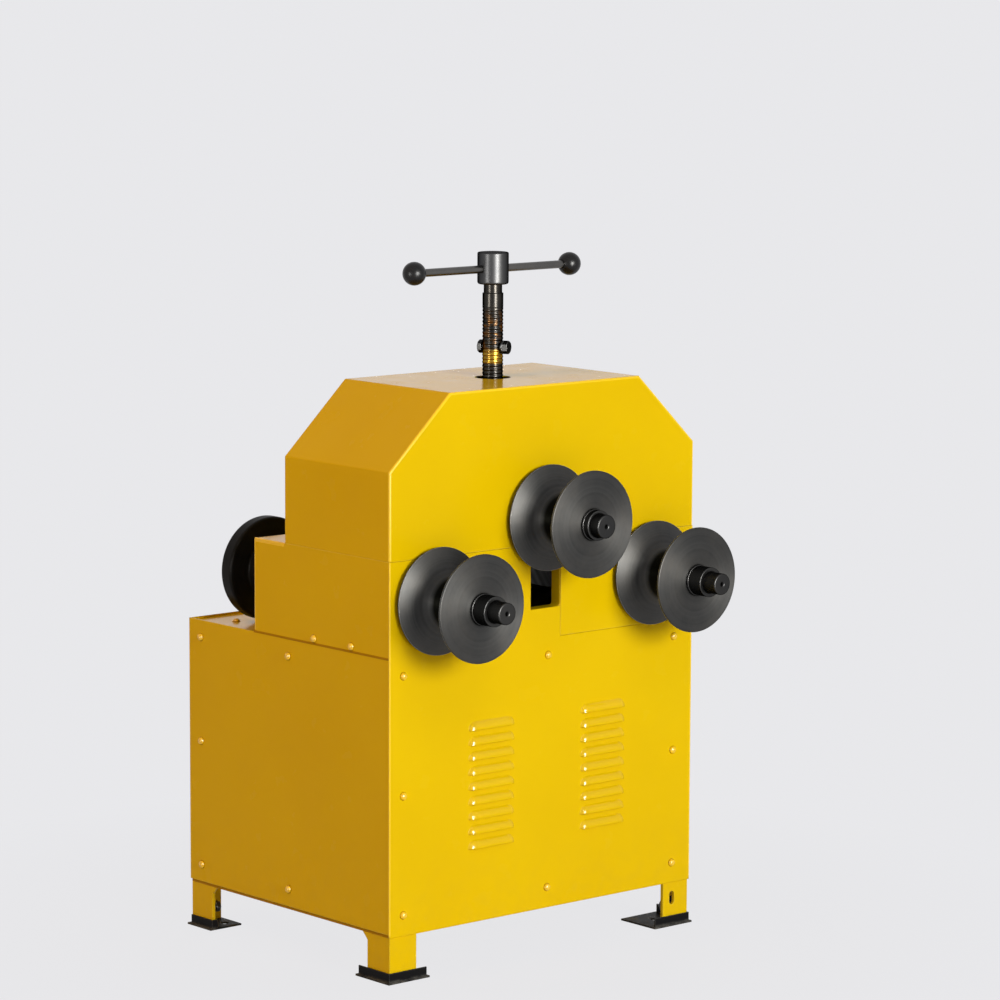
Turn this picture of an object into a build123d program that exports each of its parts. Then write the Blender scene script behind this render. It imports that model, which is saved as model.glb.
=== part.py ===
from build123d import *
import math
import os

# Electric rolling pipe bender, in millimetres.
# X runs along the front, +Y to the back, +Z up. The origin is on the floor, midway between the feet.

# Cabinet and covers
cabinet_width = 650
cabinet_depth = 523
cabinet_top = 520.5
sheet = 2
case_depth = 348
case_top = 674
case_bend = 5
hood_depth = 266
hood_shoulder = 815
hood_top = 931.5
hood_slope = 123.5
hood_bend = 3
screw_hole_radius = 29.5
side_panel_lift = 5
panel_gap = 0.4

# Stand of angle iron
rail_bottom = 74
post_leg = 55
post_wall = 6
rail_leg = 40
rail_wall = 4
gusset = 12
cross_bar_width = 30
cross_bar_height = 25
deck_drop = 4
deck_wall = 2.5
base_wall = 5
base_margin = 2
leg_slot_width = 11
leg_slot_height = 23
leg_slot_level = 47
leg_slot_inset = 35

# Feet
foot_length = 77
rear_foot_length = 57
foot_wall = 2.5
foot_height = 17
foot_plate = 3
foot_flange = 3.5
foot_lug_wall = 5
foot_lug_height = 40
foot_lug_width = 26
anchor_radius = 7
anchor_inset = 38
foot_bolt_radius = 5
foot_bolt_level = 29
foot_bolt_inset = 20
foot_bolt_reach = 38
foot_bolt_head = 8
foot_bolt_hex_radius = 9.5

# Plates that carry the shafts
plate_wall = 20
rear_plate_wall = 18
plate_side_gap = 7
plate_shoulder = 690
tower_half = 110
tower_top = 905
rear_plate_top = 640

# Rollers
roll_pitch = 460
lower_axis = 605
top_axis = 717
roller_radius = 86
roller_width = 104
roller_gap = 8
rim_chamfer = 2
groove_radius = 37
groove_axis = 70
groove_flare = 65
rear_roller_width = 92
rear_disc_width = 26
rear_core_radius = 48

# Shafts and nuts
seat_radius = 25
journal_radius = 27.5
shoulder_radius = 32
shaft_hole_gap = 2
top_shoulder_radius = 29.5
stub_radius = 17.5
end_chamfer = 2.5
seat_inset = 1
nut_radius = 25
nut_length = 32
nut_chamfer = 2
stub_length = 27
top_stub_radius = 19
top_nut_length = 15
top_stub_length = 18
bearing_radius = 50
mid_hole_radius = 45

# Press travel, slot and carriage
press_up = 45
press_down = 36
slot_half = 32
slot_bottom = 569
slot_corner = 5
trough_half = 36
trough_floor = 650
carriage_half = 58
carriage_rise = 55
carriage_gap = 1
carriage_bore = 34
top_bearing_radius = 44
top_bearing_width = 22
guide_width = 30
guide_bottom = 590
crosshead_bottom = 862
crosshead_half = 100

# Press screw and handle
screw_radius = 17
screw_neck_radius = 15
thread_top = 1069
hub_bottom = 1083
hub_height = 52
hub_radius = 25.5
hub_round = 4
collar_radius = 24.5
collar_wall = 10.4
retainer_wall = 12
retainer_half = 42
nut_sleeve_radius = 26
nut_flange_radius = 38
nut_flange_wall = 10
bar_radius = 6.5
bar_level = 1108
bar_screw_gap = 3
ball_radius = 19
ball_reach = 165.5
bar_end_inset = 9
stop_bolt_level = 981
stop_bolt_turn = 65
stop_bolt_radius = 6
stop_head_radius = 11
stop_head_wall = 9
stop_nut_wall = 7
stop_washer_wall = 3

# Gears and drive
module = 6
roll_teeth = 27
bull_teeth = 71
pressure_angle = 20
tooth_play = 0.5
gear_face = 40
gear_clear = 8
bull_rim = 22
bull_web = 14
bull_hub_radius = 46
bull_window_radius = 36
bull_window_ring = 122
bull_windows = 6
drive_radius = 22
reducer_width = 190
reducer_depth = 140
reducer_above = 60
reducer_below = 165
reducer_bend = 12
reducer_boss_radius = 55
reducer_boss_wall = 8
worm_drop = 105
stand_wall = 8
motor_flange_radius = 80
motor_flange_wall = 12
motor_radius = 66
motor_fin_radius = 78
motor_clear = 24
motor_fins = 26
motor_fin_wall = 3.5
motor_fin_root = 4
cowl_radius = 81
cowl_length = 42
cowl_wall = 3
cowl_slots = 10
terminal_box = 76
terminal_neck = 66
terminal_height = 46
terminal_lift = 4
terminal_round = 8

# Louvres and panel screws
louvre_length = 97
louvre_rise = 14
louvre_depth = 7
louvre_wall = 1.5
louvre_rows = 9
louvre_pitch = 24.1
louvre_mid = 298
louvre_left = 114
louvre_right = 126
panel_screw_inset = 28
panel_screw_low = 34
panel_screw_high = 29
front_screw_right = 41
front_screw_middle = 6
side_screw_back = 32
side_screw_rise = 243
side_screw_shift = 4.5
case_screw_rise = 8.5
case_screw_pitch = 95
deck_screw_inset = 50
deck_screw_back = 63
screw_head_radius = 6.5
screw_head_height = 5.5
screw_dome = 0.55
screw_dome_height = 0.86
screw_shank_radius = 3

# Switch and cable gland
switch_inset = 111.5
switch_level = 420
switch_width = 70
switch_height = 96
switch_depth = 42
switch_bend = 6
knob_radius = 22
knob_wall = 9
knob_grip = 16
knob_grip_width = 12
knob_grip_inset = 4
knob_chamfer = 2
spindle_radius = 4
spindle_length = 14
gland_inset = 105
gland_level = 150
gland_radius = 13
gland_hex_radius = 17
gland_hex_wall = 8
gland_length = 26
gland_bore = 6
gland_round = 4
gland_hole_gap = 2

# Clearances
running = 0.05
seat_fit = 0.02
free_gap = 0.3

# Places worked out from the sizes above
half_width = cabinet_width / 2
y_front = -cabinet_depth / 2
y_back = cabinet_depth / 2
y_case = y_front + case_depth
y_hood = y_front + hood_depth
y_screw = y_front + hood_depth / 2
frame_x = half_width - sheet
frame_y = cabinet_depth / 2 - sheet
rail_top = cabinet_top - deck_drop - deck_wall
plate_front = y_front + sheet
plate_back = plate_front + plate_wall
rear_back = y_case - sheet
case_front = y_hood - sheet
rear_front = rear_back - rear_plate_wall
roll_x = roll_pitch / 2
roller_back = y_front - roller_gap
roller_front = roller_back - roller_width
rear_near = y_case + roller_gap
rear_far = rear_near + rear_roller_width
slot_top = top_axis + press_up
carriage_top = top_axis + carriage_rise
roll_gear_radius = module * roll_teeth / 2
bull_radius = module * bull_teeth / 2
gear_distance = roll_gear_radius + bull_radius
bull_level = lower_axis - math.sqrt(gear_distance**2 - roll_x**2)
gear_back = case_front - gear_clear
gear_front = gear_back - gear_face
mid_back = gear_front - gear_clear
mid_front = mid_back - plate_wall
reducer_back = mid_back - reducer_boss_wall
reducer_mid = reducer_back - reducer_depth / 2
worm_level = bull_level - worm_drop
switch_y = y_front + switch_inset
gland_x = -half_width + gland_inset
corners = [(sx, sy) for sx in (-1, 1) for sy in (-1, 1)]

os.makedirs("parts", exist_ok=True)


def keep(piece, label):
    piece.part.label = label
    export_step(piece.part, f"parts/{label}.step")


def at_depth(y):
    # Sketch plane facing the front, with X right and Z up; extrusions run towards the front
    return Plane.XZ.offset(-y)


def shaft_plane(x, z):
    # Sketch plane through an axis along Y: first coordinate along Y, second one the radius
    return Plane(origin=(x, 0, z), x_dir=(0, 1, 0), z_dir=(1, 0, 0))


def turned(x, z, outline):
    with BuildPart() as piece:
        with BuildSketch(shaft_plane(x, z)):
            with BuildLine():
                Polyline(*outline, close=True)
            make_face()
        revolve(axis=Axis((x, 0, z), (0, 1, 0)))
    return piece


def two_rings(x, z, spans):
    with BuildPart() as piece:
        for near, far, outer, inner in spans:
            with BuildSketch(shaft_plane(x, z)):
                with Locations(((near + far) / 2, (inner + outer) / 2)):
                    Rectangle(far - near, outer - inner)
            revolve(axis=Axis((x, 0, z), (0, 1, 0)))
    return piece


def angle_outline(corner, along, leg, wall, other_leg=None):
    # Six corners of an angle section whose outer corner and inward directions are given
    (cx, cy), (dx, dy) = corner, along
    other_leg = other_leg or leg
    steps = ((0, 0), (leg, 0), (leg, wall), (wall, wall), (wall, other_leg), (0, other_leg))
    return [(cx + dx * u, cy + dy * v) for u, v in steps]


# Stand: corner posts, rails, cross bars and small gussets, welded into one piece
with BuildPart() as base_frame:
    for sx, sy in corners:
        with BuildSketch(Plane.XY.offset(foot_plate)):
            with BuildLine():
                corner = (sx * frame_x, sy * frame_y)
                Polyline(*angle_outline(corner, (-sx, -sy), post_leg, post_wall), close=True)
            make_face()
        extrude(amount=rail_top - foot_plate)
    for level, up in ((rail_bottom, 1), (rail_top, -1)):
        for side in (-1, 1):
            with BuildSketch(Plane.YZ):
                with BuildLine():
                    corner = (side * frame_y, level)
                    Polyline(*angle_outline(corner, (-side, up), rail_leg, rail_wall), close=True)
                make_face()
            extrude(amount=frame_x - post_wall / 2, both=True)
            with BuildSketch(Plane.XZ):
                with BuildLine():
                    corner = (side * frame_x, level)
                    Polyline(*angle_outline(corner, (-side, up), rail_leg, rail_wall), close=True)
                make_face()
            extrude(amount=frame_y - post_wall / 2, both=True)
    for middle in ((mid_front + mid_back) / 2, (rear_front + rear_back) / 2):
        with Locations((0, middle, rail_top - cross_bar_height / 2)):
            Box(2 * frame_x - rail_wall, cross_bar_width, cross_bar_height)
    for sx, sy in corners:
        edge = sy * (frame_y - post_leg)
        with BuildSketch(Plane.YZ.offset(sx * frame_x)):
            with BuildLine():
                Polyline((edge, rail_bottom), (edge - sy * gusset, rail_bottom), (edge, rail_bottom - gusset),
                         close=True)
            make_face()
        extrude(amount=-sx * rail_wall)
    with BuildSketch(at_depth(-frame_y + post_wall)):
        with Locations((frame_x - leg_slot_inset, leg_slot_level)):
            SlotOverall(leg_slot_height, leg_slot_width, rotation=90)
    extrude(amount=post_wall, mode=Mode.SUBTRACT)
keep(base_frame, "base_frame")

# Feet: a skirt on a flat plate, with a lug inside the leg for its bolt.
# Front skirts run round the leg's corner; rear ones cover the leg's side and its front edge.
rear_cap = post_wall + 2 * foot_wall
for sx, sy in corners:
    front = sy < 0
    label = "foot_" + ("front_" if front else "rear_") + ("left" if sx < 0 else "right")
    outer_x = sx * (frame_x + foot_wall)
    outer_y = sy * (frame_y + foot_wall)
    if front:
        skirt = angle_outline((outer_x, outer_y), (-sx, -sy), foot_length, foot_wall)
        plate = foot_length + 2 * foot_flange
    else:
        inner_y = sy * (frame_y - post_leg - foot_wall)
        skirt = angle_outline((outer_x, inner_y), (-sx, sy), rear_cap, foot_wall, post_leg + foot_wall)
        plate = rear_foot_length + 2 * foot_flange
    with BuildPart() as foot:
        middle = (outer_x + sx * (foot_flange - plate / 2), outer_y + sy * (foot_flange - plate / 2))
        with BuildSketch(Plane.XY):
            with Locations(middle):
                Rectangle(plate, plate)
        extrude(amount=foot_plate)
        with BuildSketch(Plane.XY):
            with BuildLine():
                Polyline(*skirt, close=True)
            make_face()
        extrude(amount=foot_height)
        lug_x = sx * (frame_x - post_wall - foot_lug_wall / 2)
        with Locations((lug_x, sy * (frame_y - foot_bolt_inset), foot_lug_height / 2)):
            Box(foot_lug_wall, foot_lug_width, foot_lug_height)
        with Locations((lug_x, sy * (frame_y - foot_bolt_inset), foot_bolt_level)):
            Cylinder(foot_bolt_radius + seat_fit, 3 * foot_lug_wall, rotation=(0, 90, 0),
                     mode=Mode.SUBTRACT)
        with Locations((sx * (frame_x - anchor_inset), sy * (frame_y - anchor_inset), 0)):
            Cylinder(anchor_radius, 3 * foot_plate, mode=Mode.SUBTRACT)
    keep(foot, label)

with BuildPart() as foot_bolts:
    for sx, sy in corners:
        head_start = frame_x - foot_bolt_reach + foot_bolt_head
        stud_start, stud_reach = frame_x - post_wall, foot_bolt_reach - post_wall
        for start, reach in ((stud_start, stud_reach), (head_start, foot_bolt_head)):
            with BuildSketch(Plane(origin=(sx * start, sy * (frame_y - foot_bolt_inset), foot_bolt_level),
                                   x_dir=(0, 1, 0), z_dir=(-sx, 0, 0))):
                if start == head_start:
                    RegularPolygon(foot_bolt_hex_radius, 6)
                else:
                    Circle(foot_bolt_radius)
            extrude(amount=reach)
keep(foot_bolts, "foot_bolts")

with BuildPart() as base_plate:
    with Locations((0, 0, rail_bottom + rail_wall + base_wall / 2)):
        Box(2 * (frame_x - post_wall - base_margin), 2 * (frame_y - post_wall - base_margin), base_wall)
keep(base_plate, "base_plate")

# Panels: screw places, as (x, z) on the front and rear and (y, z) on the sides
screw_low = rail_bottom + panel_screw_low
screw_high = cabinet_top - panel_screw_high
screw_left = -half_width + panel_screw_inset
front_right = half_width - front_screw_right
front_columns = (screw_left, front_screw_middle, front_right)
front_screws = [(x, z) for x in front_columns for z in (screw_low, screw_high)]
front_screws += [(x, (screw_low + screw_high) / 2) for x in (screw_left, front_right)]
side_screws = [(y_back - side_screw_back, z) for z in (screw_low, rail_bottom + side_screw_rise, screw_high)]
side_screws += [(-side_screw_shift, z) for z in (screw_low, screw_high)]
rear_screws = [(x, z) for x in (screw_left, 0, -screw_left) for z in (screw_low, screw_high)]
case_screws = [(y_front + k * case_screw_pitch, cabinet_top + case_screw_rise) for k in (1, 2)]
deck_edge = half_width - deck_screw_inset
deck_screws = [(x, y_back - deck_screw_back) for x in (-deck_edge, 0, deck_edge)]
side_bottom = rail_bottom + side_panel_lift
hole_radius = screw_shank_radius + free_gap


def side_panel(sx):
    inner = Plane.YZ.offset(sx * frame_x)
    with BuildPart() as panel:
        with BuildSketch(inner):
            with Locations((0, (side_bottom + cabinet_top - panel_gap) / 2)):
                Rectangle(2 * frame_y, cabinet_top - panel_gap - side_bottom)
            with Locations(*side_screws):
                Circle(hole_radius, mode=Mode.SUBTRACT)
        extrude(amount=sx * sheet)
    return panel


left_side_panel = side_panel(-1)
keep(left_side_panel, "left_side_panel")

right_side_panel = side_panel(1)
keep(right_side_panel, "right_side_panel")

# One louvre: a pressed, round-ended lip that opens downwards, and the throat behind it
louvre_low = -louvre_rise / 2
louvre_sink = (louvre_rise**2 - louvre_depth**2) / (2 * louvre_depth)
louvre_straight = louvre_length - 2 * louvre_rise


def louvre_form(radius):
    with BuildPart() as form:
        with Locations((0, y_front + louvre_sink, louvre_low)):
            Cylinder(radius, louvre_straight, rotation=(0, 90, 0))
            with GridLocations(louvre_straight, 0, 2, 1):
                Sphere(radius)
        with Locations((0, y_front + sheet - radius, louvre_low + radius)):
            Box(2 * louvre_length, 2 * radius, 2 * radius, mode=Mode.INTERSECT)
    return form


louvre_lip = louvre_form(louvre_sink + louvre_depth)
louvre_throat = louvre_form(louvre_sink + louvre_depth - louvre_wall)

louvre_places = [
    (x, 0, louvre_mid + (row - (louvre_rows - 1) / 2) * louvre_pitch)
    for x in (-louvre_left, louvre_right) for row in range(louvre_rows)
]
shaft_hole = shoulder_radius + shaft_hole_gap

# Front panel: one L-shaped sheet with the louvres, the shaft hole and the lower end of the press slot
with BuildPart() as front_panel:
    with BuildSketch(at_depth(plate_front)):
        with BuildLine():
            Polyline((-half_width, rail_bottom), (half_width, rail_bottom),
                     (half_width, cabinet_top - panel_gap), (slot_half, cabinet_top - panel_gap),
                     (slot_half, slot_bottom), (-slot_half, slot_bottom),
                     (-slot_half, case_top - panel_gap), (-half_width, case_top - panel_gap), close=True)
        make_face()
        with Locations((-roll_x, lower_axis)):
            Circle(shaft_hole, mode=Mode.SUBTRACT)
        with Locations(*front_screws):
            Circle(hole_radius, mode=Mode.SUBTRACT)
    extrude(amount=sheet)
    with Locations(*louvre_places):
        add(louvre_lip.part)
        add(louvre_throat.part, mode=Mode.SUBTRACT)
keep(front_panel, "front_panel")

with BuildPart() as right_front_cover:
    with BuildSketch(at_depth(plate_front)):
        cover_left, cover_top = slot_half + panel_gap, case_top - panel_gap
        with Locations(((cover_left + half_width) / 2, (cabinet_top + cover_top) / 2)):
            Rectangle(half_width - cover_left, cover_top - cabinet_top)
        with Locations((roll_x, lower_axis)):
            Circle(shaft_hole, mode=Mode.SUBTRACT)
    extrude(amount=sheet)
keep(right_front_cover, "right_front_cover")

with BuildPart() as rear_panel:
    with BuildSketch(at_depth(y_back)):
        with Locations((0, (side_bottom + cabinet_top - panel_gap) / 2)):
            Rectangle(cabinet_width, cabinet_top - panel_gap - side_bottom)
        with Locations(*rear_screws):
            Circle(hole_radius, mode=Mode.SUBTRACT)
        with Locations((gland_x, gland_level)):
            Circle(gland_bore + gland_hole_gap, mode=Mode.SUBTRACT)
    extrude(amount=sheet)
keep(rear_panel, "rear_panel")

with BuildPart() as rear_deck:
    with BuildSketch(Plane.XY.offset(rail_top)):
        with Locations((0, (rear_back + frame_y) / 2)):
            Rectangle(2 * frame_x, frame_y - rear_back)
        with Locations(*deck_screws):
            Circle(hole_radius, mode=Mode.SUBTRACT)
    extrude(amount=deck_wall)
keep(rear_deck, "rear_deck")

# Gear case cover: a folded box with a trough for the top shaft, and side walls that run to the front
with BuildPart() as gear_case_cover:
    with BuildSketch(at_depth(y_case)):
        with BuildLine():
            Polyline((-half_width, cabinet_top), (-half_width, case_top), (-trough_half, case_top),
                     (-trough_half, trough_floor), (trough_half, trough_floor), (trough_half, case_top),
                     (half_width, case_top), (half_width, cabinet_top), close=True)
        make_face()
    extrude(amount=y_case - case_front)
    at_side = lambda e: abs(e.center().X) > roll_x
    above_trough = lambda e: e.center().Z > trough_floor + 1
    bends = edges().filter_by(Axis.Z).group_by(Axis.Y)[-1].filter_by(at_side)
    bends += edges().filter_by(Axis.Y).filter_by(at_side).filter_by(above_trough)
    bends += edges().filter_by(Axis.X).group_by(Axis.Y)[-1].filter_by(above_trough)
    fillet(bends, case_bend)
    offset(amount=-sheet, openings=faces().sort_by(Axis.Z)[:1] + faces().sort_by(Axis.Y)[:1])
    for sx in (-1, 1):
        wall_x, wall_z = sx * (half_width - sheet / 2), (cabinet_top + case_top) / 2
        with Locations((wall_x, (plate_front + case_front) / 2, wall_z)):
            Box(sheet, case_front - plate_front, case_top - cabinet_top)
    with BuildSketch(at_depth(y_case)):
        with Locations((-roll_x, lower_axis), (roll_x, lower_axis)):
            Circle(shaft_hole)
    extrude(amount=2 * sheet, mode=Mode.SUBTRACT)
    for sx in (-1, 1):
        with BuildSketch(Plane.YZ.offset(sx * half_width)):
            with Locations(*case_screws):
                Circle(hole_radius)
        extrude(amount=-sx * 2 * sheet, mode=Mode.SUBTRACT)
keep(gear_case_cover, "gear_case_cover")

# Hood: a folded sheet with sloped shoulders, open below, slotted front and back for the top shaft
with BuildPart() as hood:
    with BuildSketch(at_depth(y_hood)):
        with BuildLine():
            Polyline((-half_width, case_top), (-half_width, hood_shoulder),
                     (-half_width + hood_slope, hood_top), (half_width - hood_slope, hood_top),
                     (half_width, hood_shoulder), (half_width, case_top), close=True)
        make_face()
    extrude(amount=hood_depth)
    fillet(edges().filter_by(lambda e: e.center().Z > case_top + 1), hood_bend)
    offset(amount=-sheet, openings=faces().sort_by(Axis.Z)[:1])
    with BuildSketch(at_depth(y_hood + sheet)):
        with Locations((0, slot_top)):
            Circle(slot_half)
        with Locations((0, (slot_top + slot_bottom) / 2)):
            Rectangle(2 * slot_half, slot_top - slot_bottom)
    extrude(amount=hood_depth + 2 * sheet, mode=Mode.SUBTRACT)
    with Locations((0, y_screw, hood_top)):
        Cylinder(screw_hole_radius, 4 * sheet, mode=Mode.SUBTRACT)
keep(hood, "hood")

# Thick plates
plate_x = frame_x - plate_side_gap


def head_plate(back, slot_low, shaft_radius, base):
    with BuildPart() as plate:
        with BuildSketch(at_depth(back)):
            with BuildLine():
                Polyline((-plate_x, base), (plate_x, base), (plate_x, plate_shoulder),
                         (tower_half, tower_top), (-tower_half, tower_top), (-plate_x, plate_shoulder),
                         close=True)
            make_face()
            with Locations((0, slot_top)):
                Circle(slot_half, mode=Mode.SUBTRACT)
            with Locations((0, (slot_top + slot_low) / 2)):
                Rectangle(2 * slot_half, slot_top - slot_low, mode=Mode.SUBTRACT)
            with Locations((-roll_x, lower_axis), (roll_x, lower_axis)):
                Circle(shaft_radius, mode=Mode.SUBTRACT)
        extrude(amount=plate_wall)
        fillet(edges().filter_by(Axis.Y).filter_by(lambda e: abs(e.center().Z - slot_low) < 1), slot_corner)
    return plate


front_plate = head_plate(plate_back, slot_bottom, bearing_radius, rail_top)
keep(front_plate, "front_plate")

mid_plate = head_plate(mid_back, trough_floor - sheet, mid_hole_radius, rail_top)
keep(mid_plate, "mid_plate")

with BuildPart() as rear_plate:
    with BuildSketch(at_depth(rear_back)):
        with Locations((0, (rail_top + rear_plate_top) / 2)):
            Rectangle(2 * plate_x, rear_plate_top - rail_top)
        with Locations((-roll_x, lower_axis), (roll_x, lower_axis)):
            Circle(bearing_radius, mode=Mode.SUBTRACT)
    extrude(amount=rear_plate_wall)
keep(rear_plate, "rear_plate")

# Rollers
groove_middle = (roller_front + roller_back) / 2
flare = math.radians(groove_flare)
flank_reach = groove_radius * math.sin(flare)
flank_low = groove_axis - groove_radius * math.cos(flare)
lip_reach = flank_reach + (roller_radius - flank_low) / math.tan(flare)
bore = seat_radius + seat_fit


def grooved_roller(x, z):
    low, high = flank_low, roller_radius
    with BuildPart() as roller:
        with BuildSketch(shaft_plane(x, z)):
            with BuildLine():
                Polyline((groove_middle + flank_reach, low), (groove_middle + lip_reach, high),
                         (roller_back - rim_chamfer, high), (roller_back, high - rim_chamfer),
                         (roller_back, bore), (roller_front, bore),
                         (roller_front, high - rim_chamfer), (roller_front + rim_chamfer, high),
                         (groove_middle - lip_reach, high), (groove_middle - flank_reach, low))
                ThreePointArc((groove_middle - flank_reach, low),
                              (groove_middle, groove_axis - groove_radius),
                              (groove_middle + flank_reach, low))
            make_face()
        revolve(axis=Axis((x, 0, z), (0, 1, 0)))
    return roller


def disc_roller(x, z):
    # Rear roller: a plain core with one thick disc at its outer end
    low, high = rear_core_radius, roller_radius
    disc_near = rear_far - rear_disc_width
    return turned(x, z, [
        (rear_near, bore), (rear_near, low), (disc_near, low), (disc_near, high - rim_chamfer),
        (disc_near + rim_chamfer, high), (rear_far - rim_chamfer, high), (rear_far, high - rim_chamfer),
        (rear_far, bore)])


def shaft_ends(length, radius):
    # Chamfered threaded end, as (distance from the tip, radius)
    return [(0, 0), (0, radius - end_chamfer), (end_chamfer, radius), (length, radius)]


def roller_nuts(x, z, length, radius):
    # Round nuts on both ends of a shaft, chamfered on the outside
    with BuildPart() as nuts:
        for seat, way in ((roller_front, -1), (rear_far, 1)):
            tip, inner = seat + way * length, radius + seat_fit
            with BuildSketch(shaft_plane(x, z)):
                with BuildLine():
                    Polyline((seat, inner), (seat, nut_radius), (tip - way * nut_chamfer, nut_radius),
                             (tip, nut_radius - nut_chamfer), (tip, inner), close=True)
                make_face()
            revolve(axis=Axis((x, 0, z), (0, 1, 0)))
    return nuts


def shaft_outline(radius, nut, stub, inner):
    # From the front tip to the rear tip; inner lists the steps between the two roller seats
    front_seat, rear_seat = roller_front + seat_inset, rear_far - seat_inset
    tip = shaft_ends(seat_inset + nut + stub, radius)
    front = [(roller_front - nut - stub + u, r) for u, r in tip]
    rear = [(rear_far + nut + stub - u, r) for u, r in reversed(tip)]
    return front + [(front_seat, seat_radius)] + inner + [(rear_seat, seat_radius)] + rear


lower_steps = [
    (roller_back, seat_radius), (roller_back, shoulder_radius), (plate_front, shoulder_radius),
    (plate_front, journal_radius), (rear_back, journal_radius), (rear_back, shoulder_radius),
    (rear_near, shoulder_radius), (rear_near, seat_radius)]
carriage_back = mid_front - carriage_gap
top_steps = [
    (roller_back, seat_radius), (roller_back, top_shoulder_radius), (plate_back, top_shoulder_radius),
    (plate_back, journal_radius), (carriage_back, journal_radius), (carriage_back, seat_radius),
    (y_case, seat_radius), (y_case, top_shoulder_radius),
    (rear_near, top_shoulder_radius), (rear_near, seat_radius)]


def tooth_angle(radius, teeth, base):
    # Half the angle that a tooth takes at this radius
    pitch_radius = module * teeth / 2
    spread = lambda r: math.tan(math.acos(base / r)) - math.acos(base / r)
    half_tooth = (math.pi * module / 2 - tooth_play) / (2 * pitch_radius)
    return half_tooth + spread(pitch_radius) - spread(radius)


def spur_gear(x, z, teeth, turn, bore_radius):
    # turn is the angle of the first tooth's middle, in radians
    pitch_radius = module * teeth / 2
    base = pitch_radius * math.cos(math.radians(pressure_angle))
    tip, root = pitch_radius + module, pitch_radius - 1.25 * module
    foot = max(base, root)
    at = lambda radius, angle: (x + radius * math.cos(angle), z + radius * math.sin(angle))
    with BuildPart() as gear:
        with BuildSketch(at_depth(gear_back)):
            with BuildLine():
                for n in range(teeth):
                    middle = turn + 2 * math.pi * n / teeth
                    nxt = middle + 2 * math.pi / teeth
                    side = [(r, tooth_angle(r, teeth, base)) for r in (foot, (foot + tip) / 2, tip)]
                    rise = [at(r, middle - a) for r, a in side]
                    fall = [at(r, middle + a) for r, a in reversed(side)]
                    low = side[0][1]
                    ThreePointArc(*rise)
                    Line(rise[-1], fall[0])
                    ThreePointArc(*fall)
                    if foot > root:
                        Polyline(fall[-1], at(root, middle + low), at(root, nxt - low), at(foot, nxt - low))
                    else:
                        Line(fall[-1], at(root, nxt - low))
            make_face()
            with Locations((x, z)):
                Circle(bore_radius, mode=Mode.SUBTRACT)
        extrude(amount=gear_face)
    return gear


# The bull gear has a tooth straight up; the right roll gear turns so that a gap meets its nearest tooth
bull_turn = math.pi / 2
mesh_line = math.atan2(lower_axis - bull_level, roll_x)
bull_step = 2 * math.pi / bull_teeth
tooth_offset = (bull_turn - mesh_line) - bull_step * round((bull_turn - mesh_line) / bull_step)
roll_gap_angle = mesh_line + math.pi - tooth_offset * bull_radius / roll_gear_radius
roll_turn = roll_gap_angle + math.pi / roll_teeth

right_gear = spur_gear(roll_x, lower_axis, roll_teeth, roll_turn, journal_radius + seat_fit)
keep(right_gear, "right_gear")

left_gear = spur_gear(-roll_x, lower_axis, roll_teeth, math.pi - roll_turn, journal_radius + seat_fit)
keep(left_gear, "left_gear")

toothed_wheel = spur_gear(0, bull_level, bull_teeth, bull_turn, drive_radius + seat_fit)
web_outer = bull_radius - 1.25 * module - bull_rim
with BuildPart() as bull_gear:
    add(toothed_wheel.part)
    depth = (gear_face - bull_web) / 2
    for back in (gear_back, gear_front + depth):
        with BuildSketch(at_depth(back)):
            with Locations((0, bull_level)):
                Circle(web_outer)
                Circle(bull_hub_radius, mode=Mode.SUBTRACT)
        extrude(amount=depth, mode=Mode.SUBTRACT)
    with BuildSketch(at_depth(gear_back)):
        with Locations((0, bull_level)):
            with PolarLocations(bull_window_ring, bull_windows):
                Circle(bull_window_radius)
    extrude(amount=gear_face, mode=Mode.SUBTRACT)
keep(bull_gear, "bull_gear")

# Lower shafts with their rollers, and the bearings in the plates
for name, x in (("left", -roll_x), ("right", roll_x)):
    lower_outline = shaft_outline(stub_radius, nut_length, stub_length, lower_steps)
    keep(turned(x, lower_axis, lower_outline), f"{name}_shaft")
    keep(grooved_roller(x, lower_axis), f"{name}_front_roller")
    keep(disc_roller(x, lower_axis), f"{name}_rear_roller")
    keep(roller_nuts(x, lower_axis, nut_length, stub_radius), f"{name}_nuts")
    keep(two_rings(x, lower_axis, [
        (plate_front + free_gap, plate_back, bearing_radius, journal_radius + running),
        (rear_front, rear_back - free_gap, bearing_radius, journal_radius + running)]), f"{name}_bearings")

# Top shaft, carried by the carriage
top_outline = shaft_outline(top_stub_radius, top_nut_length, top_stub_length, top_steps)
keep(turned(0, top_axis, top_outline), "top_shaft")
keep(grooved_roller(0, top_axis), "top_front_roller")
keep(disc_roller(0, top_axis), "top_rear_roller")
keep(roller_nuts(0, top_axis, top_nut_length, top_stub_radius), "top_nuts")

carriage_front = plate_back + carriage_gap
top_bearings = two_rings(0, top_axis, [
    (carriage_front, carriage_front + top_bearing_width, top_bearing_radius, journal_radius + running),
    (carriage_back - top_bearing_width, carriage_back - free_gap, top_bearing_radius,
     journal_radius + running)])
keep(top_bearings, "top_bearings")

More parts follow.
